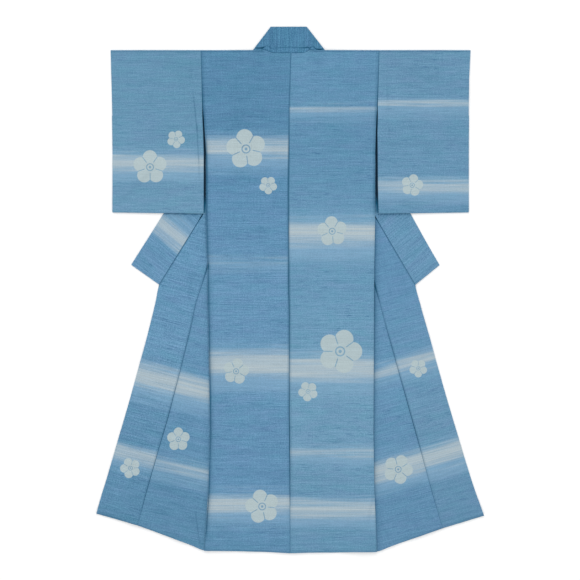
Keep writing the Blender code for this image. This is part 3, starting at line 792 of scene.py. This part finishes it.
collar = {
    "legRows": 130, "columns": 18, "neckRows": 41, "pointHalf": 0.010, "inset": 0.004,
    "bendStart": 0.5, "bendRun": 0.06, "neckNudge": (0.002, 0.001),
}


def collarLeg(side):  # the outer and the inner edge, from the tip up to the shoulder
    topDown = side["tipIn"][1] + (collar["pointHalf"] - side["tipIn"][0]) / collarSlope(side)
    share = np.linspace(0.0, 1.0, collar["legRows"] + 1)
    outerDown = side["tipOut"][1] * (1 - share)
    innerDown = side["tipIn"][1] + share * (topDown - side["tipIn"][1])
    easing = smooth((outerDown - collar["bendStart"]) / collar["bendRun"])
    outerOut = collarEdgeOut(side, outerDown) + readSide(collarBend, side, outerDown) * easing
    innerOut = collarSeamOut(side, innerDown)
    return pairs(side["sign"] * outerOut, outerDown), pairs(side["sign"] * innerOut, innerDown)


def collarGrid():
    # point = outer + s (inner - outer), where both edges go up one front, round the neck and down the other
    (leftOuter, leftInner), (rightOuter, rightInner) = collarLeg(sides["left"]), collarLeg(sides["right"])
    share = np.linspace(0.0, 1.0, collar["neckRows"])[:, None]
    half, rise = garment["neckTopHalf"] - collar["inset"], garment["neckRise"] - collar["inset"]
    neckOuter = np.concatenate([half * (2 * share - 1), np.full(share.shape, -rise)], axis=1)
    neckInner = leftInner[-1] + share * (rightInner[-1] - leftInner[-1])
    nudgeAcross, nudgeUp = collar["neckNudge"]
    neckInner[0] += (nudgeAcross, -nudgeUp)
    neckInner[-1] += (-nudgeAcross, -nudgeUp)
    outer = np.concatenate([leftOuter, neckOuter, rightOuter[::-1]])
    inner = np.concatenate([leftInner, neckInner, rightInner[::-1]])
    reach = crowd(collar["columns"], 0.012)[None, :, None]
    spot = outer[:, None] + reach * (inner - outer)[:, None]
    middle = (outer + inner) / 2
    along = np.concatenate([[0.0], np.cumsum(np.hypot(*np.diff(middle, axis=0).T))])
    wide = np.hypot(*(inner - outer).T)
    cut = pairs(reach[..., 0] * wide[:, None], along[:, None])
    fromSeam = (1 - reach[..., 0]) * wide[:, None]
    # painted shade along the collar seam and painted shadow below the sleeves' feet
    shade = np.zeros(fromSeam.shape)
    for side in sides.values():
        out = side["sign"] * spot[..., 0]
        shade += (collarShadeLine(side, spot[..., 1], fromSeam) + underSleeveShadow(side, out, spot[..., 1])) * (out > 0)
    return cells(place(spot[..., 0], spot[..., 1], thick / 2), cut, shade)


pieces["collar"] = makeSheet("collarCloth", [collarGrid()])
print("collar laid")

# neck band: the doubled collar that shows above the back, rolled along its crease

neckBand = {
    "rows": 54, "columns": 190,
    "rise": 0.0823,
    "topHalf": (0.0630, 0.0642), "baseHalf": (0.1256, 0.1283),      # left, right
    "creaseDepth": 0.0013, "creaseDeepest": 1.2, "creaseShade": 0.85,
    "rollHeight": 0.0006, "rollRun": 0.004, "rollFoot": 0.003, "rollEnd": (0.100, 0.03),
    "edgeDrop": 0.0011, "edgeRun": 0.0025,
    "topShade": 0.55, "topShadeRun": 0.0018, "sideShade": 0.15,
    "seamShade": 1.2, "seamRun": 0.0014, "seamEnd": (0.096, 0.012),
    "seamWander": 0.0006, "wanderAcross": (190, 61),
}

# the crease where the collar folds over, uneven from end to end; columns: across, down, how deep, half width
neckCrease = np.array([
    (-0.1161, -0.0071, 1.5, 0.0018), (-0.102, -0.0067, 1.7, 0.0021), (-0.0932, -0.0071, 1.9, 0.0024),
    (-0.0879, -0.0088, 1.7, 0.002), (-0.0836, -0.0124, 0.7, 0.0015), (-0.0773, -0.0148, 0.4, 0.0015),
    (-0.0685, -0.0124, 0.6, 0.0016), (-0.0632, -0.006, 0.6, 0.0016), (-0.044, -0.0066, 0.5, 0.0016),
    (-0.015, -0.009, 0.7, 0.0016), (0.006, -0.01, 0.6, 0.0016), (0.033, -0.0084, 0.7, 0.0016),
    (0.0568, -0.0078, 1.1, 0.0022), (0.0674, -0.0095, 1.3, 0.0024), (0.0745, -0.006, 1.3, 0.0018),
    (0.078, -0.0081, 1.2, 0.0016), (0.0826, -0.0124, 0.7, 0.0015), (0.0868, -0.0141, 0.5, 0.0015),
    (0.0896, -0.0102, 0.8, 0.0016), (0.0939, -0.0057, 1.2, 0.0017), (0.0992, -0.0028, 1.6, 0.0018),
    (0.1063, -0.0022, 1.9, 0.0021), (0.1133, -0.0022, 1.8, 0.0021), (0.1221, -0.0036, 1.5, 0.0018),
])
# a short wedge under its left end
neckWedge = np.array([(-0.0932, -0.0050, 1.3, 0.0018), (-0.0900, -0.0010, 0.9, 0.0016)])


def lineMark(across, down, line):
    # depth * exp(-(distance to the line / width)^2), the deepest of its stretches
    mark = np.zeros(np.broadcast(across, down).shape)
    for (x0, y0, depth0, width0), (x1, y1, depth1, width1) in zip(line, line[1:]):
        share = ((across - x0) * (x1 - x0) + (down - y0) * (y1 - y0)) / ((x1 - x0) ** 2 + (y1 - y0) ** 2)
        share = np.clip(share, 0.0, 1.0)
        off = np.hypot(across - x0 - share * (x1 - x0), down - y0 - share * (y1 - y0))
        width = width0 + share * (width1 - width0)
        mark = np.maximum(mark, (depth0 + share * (depth1 - depth0)) * np.exp(-((off / width) ** 2)))
    return mark


def neckBandGrids():
    # rows run from the top edge to the neck seam, columns across; the height has a crease and a roll
    columns = np.linspace(-1.0, 1.0, neckBand["columns"] + 1)
    rows = crowd(neckBand["rows"], 0.03)
    base = np.where(columns > 0, neckBand["baseHalf"][1], neckBand["baseHalf"][0])
    head = np.where(columns > 0, neckBand["topHalf"][1], neckBand["topHalf"][0])
    foot = columns * base
    seamDown = np.where(foot > 0, neckSeamDown(sides["right"], foot), neckSeamDown(sides["left"], -foot))
    seamDown = seamDown - gap
    down = -neckBand["rise"] + rows[:, None] * (seamDown[None, :] + neckBand["rise"])
    half = base + np.clip(-down / neckBand["rise"], 0.0, 1.0) * (head - base)
    across = columns[None, :] * half
    fromTop, fromSide = neckBand["rise"] + down, half - np.abs(across)
    edge = np.minimum(fromTop, fromSide)
    mark = darkest(lineMark(across, down, neckCrease), lineMark(across, down, neckWedge))
    rollEnd, rollEndRun = neckBand["rollEnd"]
    roll = smooth((down - readTable(neckCrease, across, 1)) / neckBand["rollRun"])
    roll = roll * smooth((seamDown - down) / neckBand["rollFoot"])
    roll = roll * smooth((rollEnd - np.abs(across)) / rollEndRun)
    height = 2 * level + thick - neckBand["edgeDrop"] * (1 - smooth(edge / neckBand["edgeRun"]))
    height = height - neckBand["creaseDepth"] * np.minimum(mark, neckBand["creaseDeepest"])
    height = height + neckBand["rollHeight"] * roll
    longWave, shortWave = neckBand["wanderAcross"]
    wander = neckBand["seamWander"] * np.sin(across * longWave) * np.sin(across * shortWave + 1.0)
    seamEnd, seamEndRun = neckBand["seamEnd"]
    seam = neckBand["seamShade"] * seamShade(seamDown - down + wander, neckBand["seamRun"])
    # painted shade in the crease, along the top and the sides, and along the neck seam
    shade = darkest(
        neckBand["creaseShade"] * mark,
        neckBand["topShade"] * seamShade(fromTop, neckBand["topShadeRun"]),
        neckBand["sideShade"] * seamShade(fromSide, neckBand["topShadeRun"]),
        seam * smooth((seamEnd - np.abs(across)) / seamEndRun),
    )
    cut = pairs(down, across)
    upper, under = place(across, down, height), place(across, down, level)
    grids = [cells(upper, cut, shade), cells(under, cut)]
    for pick in (np.s_[0, :], np.s_[-1, :], np.s_[:, 0], np.s_[:, -1]):
        grids.append(cells(np.stack([upper[pick], under[pick]]), np.stack([cut[pick], cut[pick]])))
    return grids


pieces["over_collar"] = makeSheet("neckBandCloth", neckBandGrids(), walled=False)
print("neck band laid")

# finishes

studio = {
    "light": (1.190, 1.152, 1.126),     # how bright white cloth comes out, so that paint() can allow for it
    "sky": 0.93,
    "panel": 74.0,
    "panelSize": 3.2,
    "fill": 24.0,
    "floorHalf": 6.0, "floorDown": 0.0004, "floorWhite": 0.93, "floorGlow": 0.04,
}


def paint(red, green, blue):
    # a display colour, 0 to 255, through the display's standard curve, as the reflectance that gives it here
    display = np.array([red, green, blue]) / 255
    linear = np.where(display <= 0.04045, display / 12.92, ((display + 0.055) / 1.055) ** 2.4)
    return (*(linear / studio["light"]), 1.0)


def newGroup(name, inputs, outputs):
    # a group that takes the place on the cut cloth and some numbers, and gives out numbers
    tree = bpy.data.node_groups.new(name, "ShaderNodeTree")
    tree.interface.new_socket(name="Cloth", in_out="INPUT", socket_type="NodeSocketVector")
    for label, value in inputs.items():
        socket = tree.interface.new_socket(name=label, in_out="INPUT", socket_type="NodeSocketFloat")
        socket.default_value = value
    for label in outputs:
        tree.interface.new_socket(name=label, in_out="OUTPUT", socket_type="NodeSocketFloat")
    return tree, tree.nodes.new("NodeGroupInput").outputs, tree.nodes.new("NodeGroupOutput").inputs


def plug(tree, socket, value):
    if isinstance(value, bpy.types.NodeSocket):
        tree.links.new(value, socket)
    else:
        socket.default_value = value


def setSockets(node, values):  # constants, straight on the sockets
    for label, value in values.items():
        node.inputs[label].default_value = value


def maths(tree, kind, *values):
    node = tree.nodes.new("ShaderNodeMath")
    node.operation = kind
    for socket, value in zip(node.inputs, values):
        plug(tree, socket, value)
    return node.outputs[0]


def plus(tree, first, second):
    return maths(tree, "ADD", first, second)


def minus(tree, first, second):
    return maths(tree, "SUBTRACT", first, second)


def times(tree, first, second):
    return maths(tree, "MULTIPLY", first, second)


def span(tree, value, low, high, toLow=0.0, toHigh=1.0, soft=True):
    # from toLow at low to toHigh at high, with flat ends if soft
    node = tree.nodes.new("ShaderNodeMapRange")
    node.interpolation_type = "SMOOTHSTEP" if soft else "LINEAR"
    for socket, number in zip(node.inputs, (value, low, high, toLow, toHigh)):
        plug(tree, socket, number)
    return node.outputs[0]


def hypotenuse(tree, x, y):
    return maths(tree, "SQRT", plus(tree, times(tree, x, x), times(tree, y, y)))


def streaks(tree, cut, across, along, shift, detail=1.0, rough=0.55):
    # noise on the cut cloth, so many streaks per metre across and along; shift is its own place in the noise
    u, v, start = cut
    spot = tree.nodes.new("ShaderNodeCombineXYZ")
    values = times(tree, u, across), times(tree, v, along), plus(tree, start, shift)
    for socket, value in zip(spot.inputs, values):
        tree.links.new(value, socket)
    noise = tree.nodes.new("ShaderNodeTexNoise")
    setSockets(noise, {"Scale": 1.0, "Detail": detail, "Roughness": rough})
    tree.links.new(spot.outputs[0], noise.inputs["Vector"])
    return noise.outputs[0]


def ripple(tree, cut, *streak):  # the same about zero
    return minus(tree, streaks(tree, cut, *streak), 0.5)


def splitCut(tree, vector):
    node = tree.nodes.new("ShaderNodeSeparateXYZ")
    tree.links.new(vector, node.inputs[0])
    return node.outputs[0], node.outputs[1]


def mixColour(tree, amount, first, second):
    node = tree.nodes.new("ShaderNodeMix")
    node.data_type = "RGBA"
    plug(tree, node.inputs["Factor"], amount)
    plug(tree, [x for x in node.inputs if x.name == "A" and x.type == "RGBA"][0], first)
    plug(tree, [x for x in node.inputs if x.name == "B" and x.type == "RGBA"][0], second)
    return [x for x in node.outputs if x.type == "RGBA"][0]


# a streak is (per metre across, per metre along, shift, detail, roughness of the noise)
weaveForm = {
    "toneStreaks": [        # streak, its share of the tone
        ((15.0, 290.0, 0.0, 1.0), 0.95), ((3.0, 34.0, 7.3, 2.0), 0.25), ((4.0, 260.0, 2.3, 1.0), 0.55),
        ((230.0, 330.0, 9.1, 1.0), 1.50), ((210.0, 16.0, 3.1, 1.0), 0.30), ((3.4, 3.0, 5.7, 2.0), 0.30),
    ],
    "slub": (26.0, 290.0, 11.9), "slubEdge": (0.60, 0.70),
    "gate": (5.0, 22.0, 17.2), "gateEdge": (0.42, 0.62, 0.25, 1.0),
    "hue": (9.0, 34.0, 37.0, 2.0, 0.7), "hueRise": 3.0,
    "threadStep": 0.0011, "threadRise": 0.22, "weftRise": 0.8, "slubRise": 0.6,
}


def slubWeaveGroup():
    # plain weave with thick and thin weft: fine streaks across, dark slubs where a coarse noise allows,
    # faint warp lines and a slow drift of hue
    tree, given, made = newGroup("slubWeave", {"Start": 0.0}, ["Tone", "Slub", "Height", "Hue"])
    u, v = splitCut(tree, given["Cloth"])
    cut = (u, v, given["Start"])
    ripples = [ripple(tree, cut, *streak) for streak, share in weaveForm["toneStreaks"]]
    tone = 0.0
    for part, (streak, share) in zip(ripples, weaveForm["toneStreaks"]):
        tone = plus(tree, times(tree, part, share), tone)
    coarse = span(tree, streaks(tree, cut, *weaveForm["slub"]), *weaveForm["slubEdge"])
    gate = span(tree, streaks(tree, cut, *weaveForm["gate"]), *weaveForm["gateEdge"])
    slub = times(tree, coarse, gate)
    turns = 2 * math.pi / weaveForm["threadStep"]
    warp, weft = (maths(tree, "SINE", times(tree, part, turns)) for part in (u, v))
    height = times(tree, times(tree, warp, weft), weaveForm["threadRise"])
    height = plus(tree, height, times(tree, ripples[0], weaveForm["weftRise"]))
    height = plus(tree, height, times(tree, slub, weaveForm["slubRise"]))
    hue = times(tree, ripple(tree, cut, *weaveForm["hue"]), weaveForm["hueRise"])
    for label, value in {"Tone": tone, "Slub": slub, "Height": height, "Hue": hue}.items():
        tree.links.new(value, made[label])
    return tree


mistForm = {    # the noises that move a band's edge, and how far
    "strays": [(5.0, 130.0, 23.0, 2.0), (1.3, 40.0, 29.0)], "stray": 0.055,
    "lean": 0.6, "leanRun": 0.02,       # the fringe is wider on the hem's side
    "fringeWide": 0.45, "fringeSoft": 1.2,
    "thread": (1.6, 250.0, 41.0), "threadEdge": (0.3, 0.7), "coreLeast": 0.66, "fringeLeast": 0.75,
}


def mistGroup():
    # a band across the cloth: inside = half width - distance from its line + two noises of the weft, because
    # each thread takes the dye a little sooner or later; the core and the wider fringe fade over soft
    inputs = {"Start": 0.0, "At": 0.0, "Half": 0.03, "Soft": 0.03}
    tree, given, made = newGroup("mistBand", inputs, ["Core", "Fringe"])
    u, v = splitCut(tree, given["Cloth"])
    cut = (u, v, given["Start"])
    half, soft = given["Half"], given["Soft"]
    for streak in mistForm["strays"]:
        half = plus(tree, half, times(tree, ripple(tree, cut, *streak), mistForm["stray"]))
    past = minus(tree, v, given["At"])
    inside = minus(tree, half, maths(tree, "ABSOLUTE", past))
    core = span(tree, inside, 0.0, soft)
    below = times(tree, maths(tree, "SIGN", given["At"]), past)
    lean = span(tree, below, -mistForm["leanRun"], mistForm["leanRun"])
    lean = times(tree, lean, times(tree, soft, mistForm["lean"]))
    wide = plus(tree, inside, plus(tree, times(tree, soft, mistForm["fringeWide"]), lean))
    fringe = span(tree, wide, 0.0, times(tree, soft, mistForm["fringeSoft"]))
    thread = streaks(tree, cut, *mistForm["thread"])
    for label, value, least in (("Core", core, "coreLeast"), ("Fringe", fringe, "fringeLeast")):
        threaded = span(tree, thread, *mistForm["threadEdge"], mistForm[least], 1.0)
        tree.links.new(times(tree, value, threaded), made[label])
    return tree


# sizes for a blossom of radius 1; an edge is where it starts to fade and where it is gone
blossomForm = {
    "petals": 5, "petalAt": 0.58, "petalEdge": (0.405, 0.435), "middleEdge": (0.60, 0.64),
    "seamEdge": (0.012, 0.035), "seamStart": (0.30, 0.38),
    "ringAt": 0.20, "ringEdge": (0.015, 0.045), "dotEdge": (0.06, 0.09),
}


def blossomGroup():
    # a plum blossom: the angle folded into one petal's share of the turn, a round petal there,
    # a seam between petals and a heart of a ring and a dot
    inputs = {"Across": 0.0, "Along": 0.0, "Radius": 0.05, "Turn": 0.0}
    tree, given, made = newGroup("plumBlossom", inputs, ["Petal", "Line"])
    u, v = splitCut(tree, given["Cloth"])
    x = maths(tree, "DIVIDE", minus(tree, u, given["Across"]), given["Radius"])
    y = maths(tree, "DIVIDE", minus(tree, v, given["Along"]), given["Radius"])
    away = hypotenuse(tree, x, y)
    angle = plus(tree, maths(tree, "ARCTAN2", y, x), given["Turn"])
    halfPetal = math.pi / blossomForm["petals"]
    folded = maths(tree, "PINGPONG", angle, halfPetal)
    px = times(tree, away, maths(tree, "COSINE", folded))
    py = times(tree, away, maths(tree, "SINE", folded))
    fromPetal = hypotenuse(tree, minus(tree, px, blossomForm["petalAt"]), py)
    petal = span(tree, fromPetal, *blossomForm["petalEdge"], 1.0, 0.0)
    petal = maths(tree, "MAXIMUM", petal, span(tree, away, *blossomForm["middleEdge"], 1.0, 0.0))
    between = minus(tree, times(tree, px, math.sin(halfPetal)), times(tree, py, math.cos(halfPetal)))
    line = span(tree, between, *blossomForm["seamEdge"], 1.0, 0.0)
    line = times(tree, line, span(tree, away, *blossomForm["seamStart"]))
    fromRing = maths(tree, "ABSOLUTE", minus(tree, away, blossomForm["ringAt"]))
    line = maths(tree, "MAXIMUM", line, span(tree, fromRing, *blossomForm["ringEdge"], 1.0, 0.0))
    line = maths(tree, "MAXIMUM", line, span(tree, away, *blossomForm["dotEdge"], 1.0, 0.0))
    tree.links.new(petal, made["Petal"])
    tree.links.new(times(tree, line, petal), made["Line"])
    return tree


groups = {"weave": slubWeaveGroup(), "mist": mistGroup(), "blossom": blossomGroup()}

# dyes of the silk, and two colours of painted shade: one for seams, folds, hems and edges, a darker one for
# the shadow deep in the slits
dyesAndPaintedShade = {
    "slub": paint(66, 112, 150), "slubDepth": 0.58,
    "seam": paint(4, 78, 108), "seamDepth": 0.90,
    "paintedDeepShadow": paint(2, 32, 50),
    "mist": paint(186, 197, 200), "mistDepth": 0.99, "mistStep": 1.7,
    "fringe": paint(140, 176, 202), "fringeDepth": 0.70,
    "petal": paint(184, 198, 199), "petalDepth": 0.93, "lineDepth": 0.75,
    "toneDepth": (0.54, 0.32, 0.24),        # how much a thread's tone changes the dye's red, green and blue
    "hueDepth": (0.100, -0.035, 0.015),     # the same for the slow drift of hue
    "threadDepth": (0.20, 0.20, 0.20),      # and for the bare thread, which the pale parts have too
    "rough": 0.78, "roughTone": 0.15,
}
sheen = {"Specular IOR Level": 0.12, "Sheen Weight": 0.06, "Sheen Roughness": 0.45}
relief = {"Strength": 0.35, "Distance": 0.0004}


def useGroup(tree, group, **values):
    node = tree.nodes.new("ShaderNodeGroup")
    node.node_tree = group
    for label, value in values.items():
        plug(tree, node.inputs[label], value)
    return node.outputs


def groundColour(tree, along, ground):
    # the dye's tone along the cut length, from stops of (length, colour)
    lengths = [length for length, colour in ground]
    ramp = tree.nodes.new("ShaderNodeValToRGB")
    stops = ramp.color_ramp.elements
    for order, (length, colour) in enumerate(ground):
        share = (length - lengths[0]) / (lengths[-1] - lengths[0])
        stop = stops[order] if order < 2 else stops.new(share)
        stop.position, stop.color = share, paint(*colour)
    tree.links.new(span(tree, along, lengths[0], lengths[-1], soft=False), ramp.inputs[0])
    return ramp.outputs[0]


def tinted(tree, weave, colour, toneShares, hueShares=(0.0, 0.0, 0.0)):
    # colour * (1 + tone * its share + hue * its share), for red, green and blue
    tint = tree.nodes.new("ShaderNodeCombineXYZ")
    for socket, toneShare, hueShare in zip(tint.inputs, toneShares, hueShares):
        change = plus(tree, times(tree, weave["Tone"], toneShare), times(tree, weave["Hue"], hueShare))
        plug(tree, socket, plus(tree, change, 1.0))
    product = tree.nodes.new("ShaderNodeVectorMath")
    product.operation = "MULTIPLY"
    tree.links.new(colour, product.inputs[0])
    tree.links.new(tint.outputs[0], product.inputs[1])
    return product.outputs[0]


def silk(name, start, weight, ground, mists=(), blossoms=()):
    material = bpy.data.materials.new(name)
    material.use_nodes = True
    tree = material.node_tree
    shader = tree.nodes["Principled BSDF"]
    cut = tree.nodes.new("ShaderNodeUVMap")
    cut.uv_map = "cut"
    along = splitCut(tree, cut.outputs[0])[1]
    weave = useGroup(tree, groups["weave"], Cloth=cut.outputs[0], Start=start)
    slub = times(tree, weave["Slub"], dyesAndPaintedShade["slubDepth"])
    colour = mixColour(tree, slub, groundColour(tree, along, ground), dyesAndPaintedShade["slub"])
    colour = tinted(tree, weave, colour, [weight * share for share in dyesAndPaintedShade["toneDepth"]], dyesAndPaintedShade["hueDepth"])
    dyed = colour
    for order, (at, half, soft, strength) in enumerate(mists):
        values = {"Start": start + dyesAndPaintedShade["mistStep"] * order, "At": at, "Half": half, "Soft": soft}
        band = useGroup(tree, groups["mist"], Cloth=cut.outputs[0], **values)
        fringe = times(tree, band["Fringe"], dyesAndPaintedShade["fringeDepth"] * strength)
        core = times(tree, band["Core"], dyesAndPaintedShade["mistDepth"] * strength)
        colour = mixColour(tree, fringe, colour, dyesAndPaintedShade["fringe"])
        colour = mixColour(tree, core, colour, dyesAndPaintedShade["mist"])
    for sizes in blossoms:
        values = dict(zip(("Across", "Along", "Radius", "Turn"), sizes))
        flower = useGroup(tree, groups["blossom"], Cloth=cut.outputs[0], **values)
        colour = mixColour(tree, times(tree, flower["Petal"], dyesAndPaintedShade["petalDepth"]), colour, dyesAndPaintedShade["petal"])
        colour = mixColour(tree, times(tree, flower["Line"], dyesAndPaintedShade["lineDepth"]), colour, dyed)
    colour = tinted(tree, weave, colour, [weight * share for share in dyesAndPaintedShade["threadDepth"]])
    # painted shade: the shade attribute darkens the colour towards the painted seam shade, and past 1 towards
    # the painted deep shadow
    shade = tree.nodes.new("ShaderNodeAttribute")
    shade.attribute_name = "shade"
    dark = shade.outputs["Fac"]
    colour = mixColour(tree, times(tree, dark, dyesAndPaintedShade["seamDepth"]), colour, dyesAndPaintedShade["seam"])
    colour = mixColour(tree, span(tree, dark, 1.0, deepShade, soft=False), colour, dyesAndPaintedShade["paintedDeepShadow"])
    tree.links.new(colour, shader.inputs["Base Color"])
    rough = plus(tree, dyesAndPaintedShade["rough"], times(tree, weave["Tone"], dyesAndPaintedShade["roughTone"]))
    tree.links.new(rough, shader.inputs["Roughness"])
    setSockets(shader, sheen)
    bump = tree.nodes.new("ShaderNodeBump")
    setSockets(bump, relief)
    tree.links.new(weave["Height"], bump.inputs["Height"])
    tree.links.new(bump.outputs[0], shader.inputs["Normal"])
    return material


# the design: soft bands of mist and plum blossoms, a common pair of motifs
# weight is how plainly the thick and thin threads of a piece show
# ground is its blue at lengths on the cut, and drifts from one to the next
# a mist is (length on the cut, half width, softness, strength); a blossom is (across, along, radius, turn)
# a turned blossom is given by its place on the turned front, (out, down, radius, turn)

design = {
    "body_left": {
        "start": 1.0, "weight": 1.13,
        "ground": [
            (-1.70, (95, 141, 172)), (-1.00, (105, 150, 183)), (0.00, (89, 137, 169)), (0.25, (90, 137, 170)),
            (0.55, (98, 144, 178)), (0.85, (105, 150, 183)), (1.25, (105, 150, 183)), (1.58, (97, 142, 176)),
            (1.70, (97, 143, 175)),
        ],
        "mists": [(0.345, 0.050, 0.056, 0.95), (0.745, 0.018, 0.040, 0.55), (1.105, 0.070, 0.064, 1.0),
                  (1.600, 0.048, 0.050, 0.95), (-1.215, 0.056, 0.056, 0.95), (-1.500, 0.034, 0.044, 0.75)],
        "blossoms": [(0.150, 0.349, 0.070, 0.2), (0.072, 0.4766, 0.032, 0.9), (0.185, 1.133, 0.046, 0.5),
                     (0.093, 1.610, 0.060, 0.1)],
        "turned": [(0.3897, 1.373, 0.042, 0.7)],
    },
    "body_right": {
        "start": 4.0, "weight": 0.97,
        "ground": [
            (-1.70, (98, 142, 174)), (-1.30, (105, 150, 182)), (-1.00, (103, 148, 181)),
            (0.00, (99, 145, 177)), (0.45, (99, 145, 176)), (0.60, (106, 151, 181)), (0.86, (108, 153, 183)),
            (1.10, (113, 157, 185)), (1.42, (114, 157, 185)), (1.62, (107, 151, 180)),
            (1.70, (104, 149, 178)),
        ],
        "mists": [(0.210, 0.020, 0.040, 0.6), (0.645, 0.066, 0.066, 1.0), (1.125, 0.058, 0.056, 0.95),
                  (1.420, 0.022, 0.040, 0.7), (1.620, 0.046, 0.056, 0.95), (-1.160, 0.034, 0.044, 0.85),
                  (-1.500, 0.054, 0.052, 0.95)],
        "blossoms": [(0.154, 0.639, 0.053, 0.4), (0.182, 1.0625, 0.078, 0.0), (0.069, 1.204, 0.035, 0.8)],
        "turned": [(0.387, 1.479, 0.052, 0.3)],
    },
    "okumi_left": {
        "start": 7.0, "weight": 1.4,
        "ground": [(-1.75, (93, 139, 170)), (-1.10, (107, 152, 184)), (-0.90, (104, 150, 183))],
        "mists": [(-1.215, 0.058, 0.056, 0.95), (-1.500, 0.036, 0.044, 0.8)],
        "blossoms": [(0.078, -1.545, 0.036, 0.3)],
    },
    "okumi_right": {
        "start": 10.0, "weight": 0.88,
        "ground": [(-1.75, (101, 144, 174)), (-1.38, (111, 153, 182)), (-0.90, (101, 146, 180))],
        "mists": [(-1.160, 0.036, 0.044, 0.85), (-1.500, 0.052, 0.052, 0.95)],
        "blossoms": [(0.070, -1.185, 0.032, 0.6)],
    },
    "sleeve_left": {
        "start": 13.0, "weight": 0.9, "ground": [(0.00, (101, 146, 174)), (0.57, (110, 153, 181))],
        "mists": [(0.395, 0.044, 0.048, 0.95)],
        "blossoms": [(0.4885, 0.413, 0.060, 0.3), (0.397, 0.314, 0.032, 0.8)],
    },
    "sleeve_right": {
        "start": 16.0, "weight": 0.98, "ground": [(0.00, (105, 148, 177)), (0.57, (103, 147, 177))],
        "mists": [(0.190, 0.024, 0.042, 0.8), (0.485, 0.036, 0.046, 0.9)],
        "blossoms": [(0.436, 0.4766, 0.039, 0.1)],
    },
    "collar": {
        "start": 19.0, "weight": 1.15, "ground": [(0.0, (105, 149, 182)), (2.0, (106, 150, 181))],
        "mists": [(0.175, 0.046, 0.044, 0.85)],
    },
    "over_collar": {"start": 22.0, "weight": 1.6, "ground": [(-0.1, (76, 127, 160)), (0.1, (76, 127, 160))]},
}

for key, piece in pieces.items():
    plan = dict(design[key])
    flowers = list(plan.pop("blossoms", []))
    for out, down, radius, turned in plan.pop("turned", []):
        across, along = turnedCut(sides[key.split("_")[1]], out, down)
        flowers.append((float(across), float(along), radius, turned))
    piece.data.materials.append(silk("silk_" + key, blossoms=flowers, **plan))
    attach(piece, "root")
    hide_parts(key)
print("silk dyed and pieces tied to the solids")

# floor, light and camera

half, low = studio["floorHalf"], -studio["floorDown"]
floorMesh = bpy.data.meshes.new("floor")
corners = [(-half, -half, low), (half, -half, low), (half, half, low), (-half, half, low)]
floorMesh.from_pydata(corners, [], [(0, 1, 2, 3)])
floor = bpy.data.objects.new("floor", floorMesh)
bpy.context.scene.collection.objects.link(floor)
white = bpy.data.materials.new("studioWhite")
white.use_nodes = True
setSockets(white.node_tree.nodes["Principled BSDF"], {
    "Base Color": (*[studio["floorWhite"]] * 3, 1), "Roughness": 0.9, "Specular IOR Level": 0.1,
    "Emission Color": (1, 1, 1, 1), "Emission Strength": studio["floorGlow"],
})
floorMesh.materials.append(white)

sky = bpy.data.worlds.new("studioSky")
sky.use_nodes = True
setSockets(sky.node_tree.nodes["Background"], {"Color": (1.0, 1.0, 1.0, 1), "Strength": studio["sky"]})
bpy.context.scene.world = sky


def softLight(name, spot, power):  # a square panel that faces the middle of the floor
    data = bpy.data.lights.new(name, "AREA")
    data.energy = power
    data.size = studio["panelSize"]
    lamp = bpy.data.objects.new(name, data)
    bpy.context.scene.collection.objects.link(lamp)
    back = np.array(spot) / np.linalg.norm(spot)
    right = np.cross((0.0, 1.0, 0.001), back)
    right = right / np.linalg.norm(right)
    turn = np.eye(4)
    turn[:3] = np.column_stack([right, np.cross(back, right), back, spot])
    lamp.matrix_world = Matrix(turn.tolist())


softLight("northPanel", (-0.8, 4.2, 3.6), studio["panel"])
softLight("southFill", (1.2, -4.0, 4.2), studio["fill"])

view = {"lens": 100.0, "sensor": 36.0, "perPixel": 0.00353, "pixels": 580, "centre": (-0.0009, -0.0007)}
cameraData = bpy.data.cameras.new("photoCamera")
cameraData.lens = view["lens"]
cameraData.sensor_width = view["sensor"]
camera = bpy.data.objects.new("photoCamera", cameraData)
bpy.context.scene.collection.objects.link(camera)
field = view["perPixel"] * view["pixels"]
camera.location = (*view["centre"], field * view["lens"] / view["sensor"])
cameraData.clip_end = 60
bpy.context.scene.camera = camera
bpy.context.scene.view_settings.view_transform = "Standard"
print("floor, light and camera set")
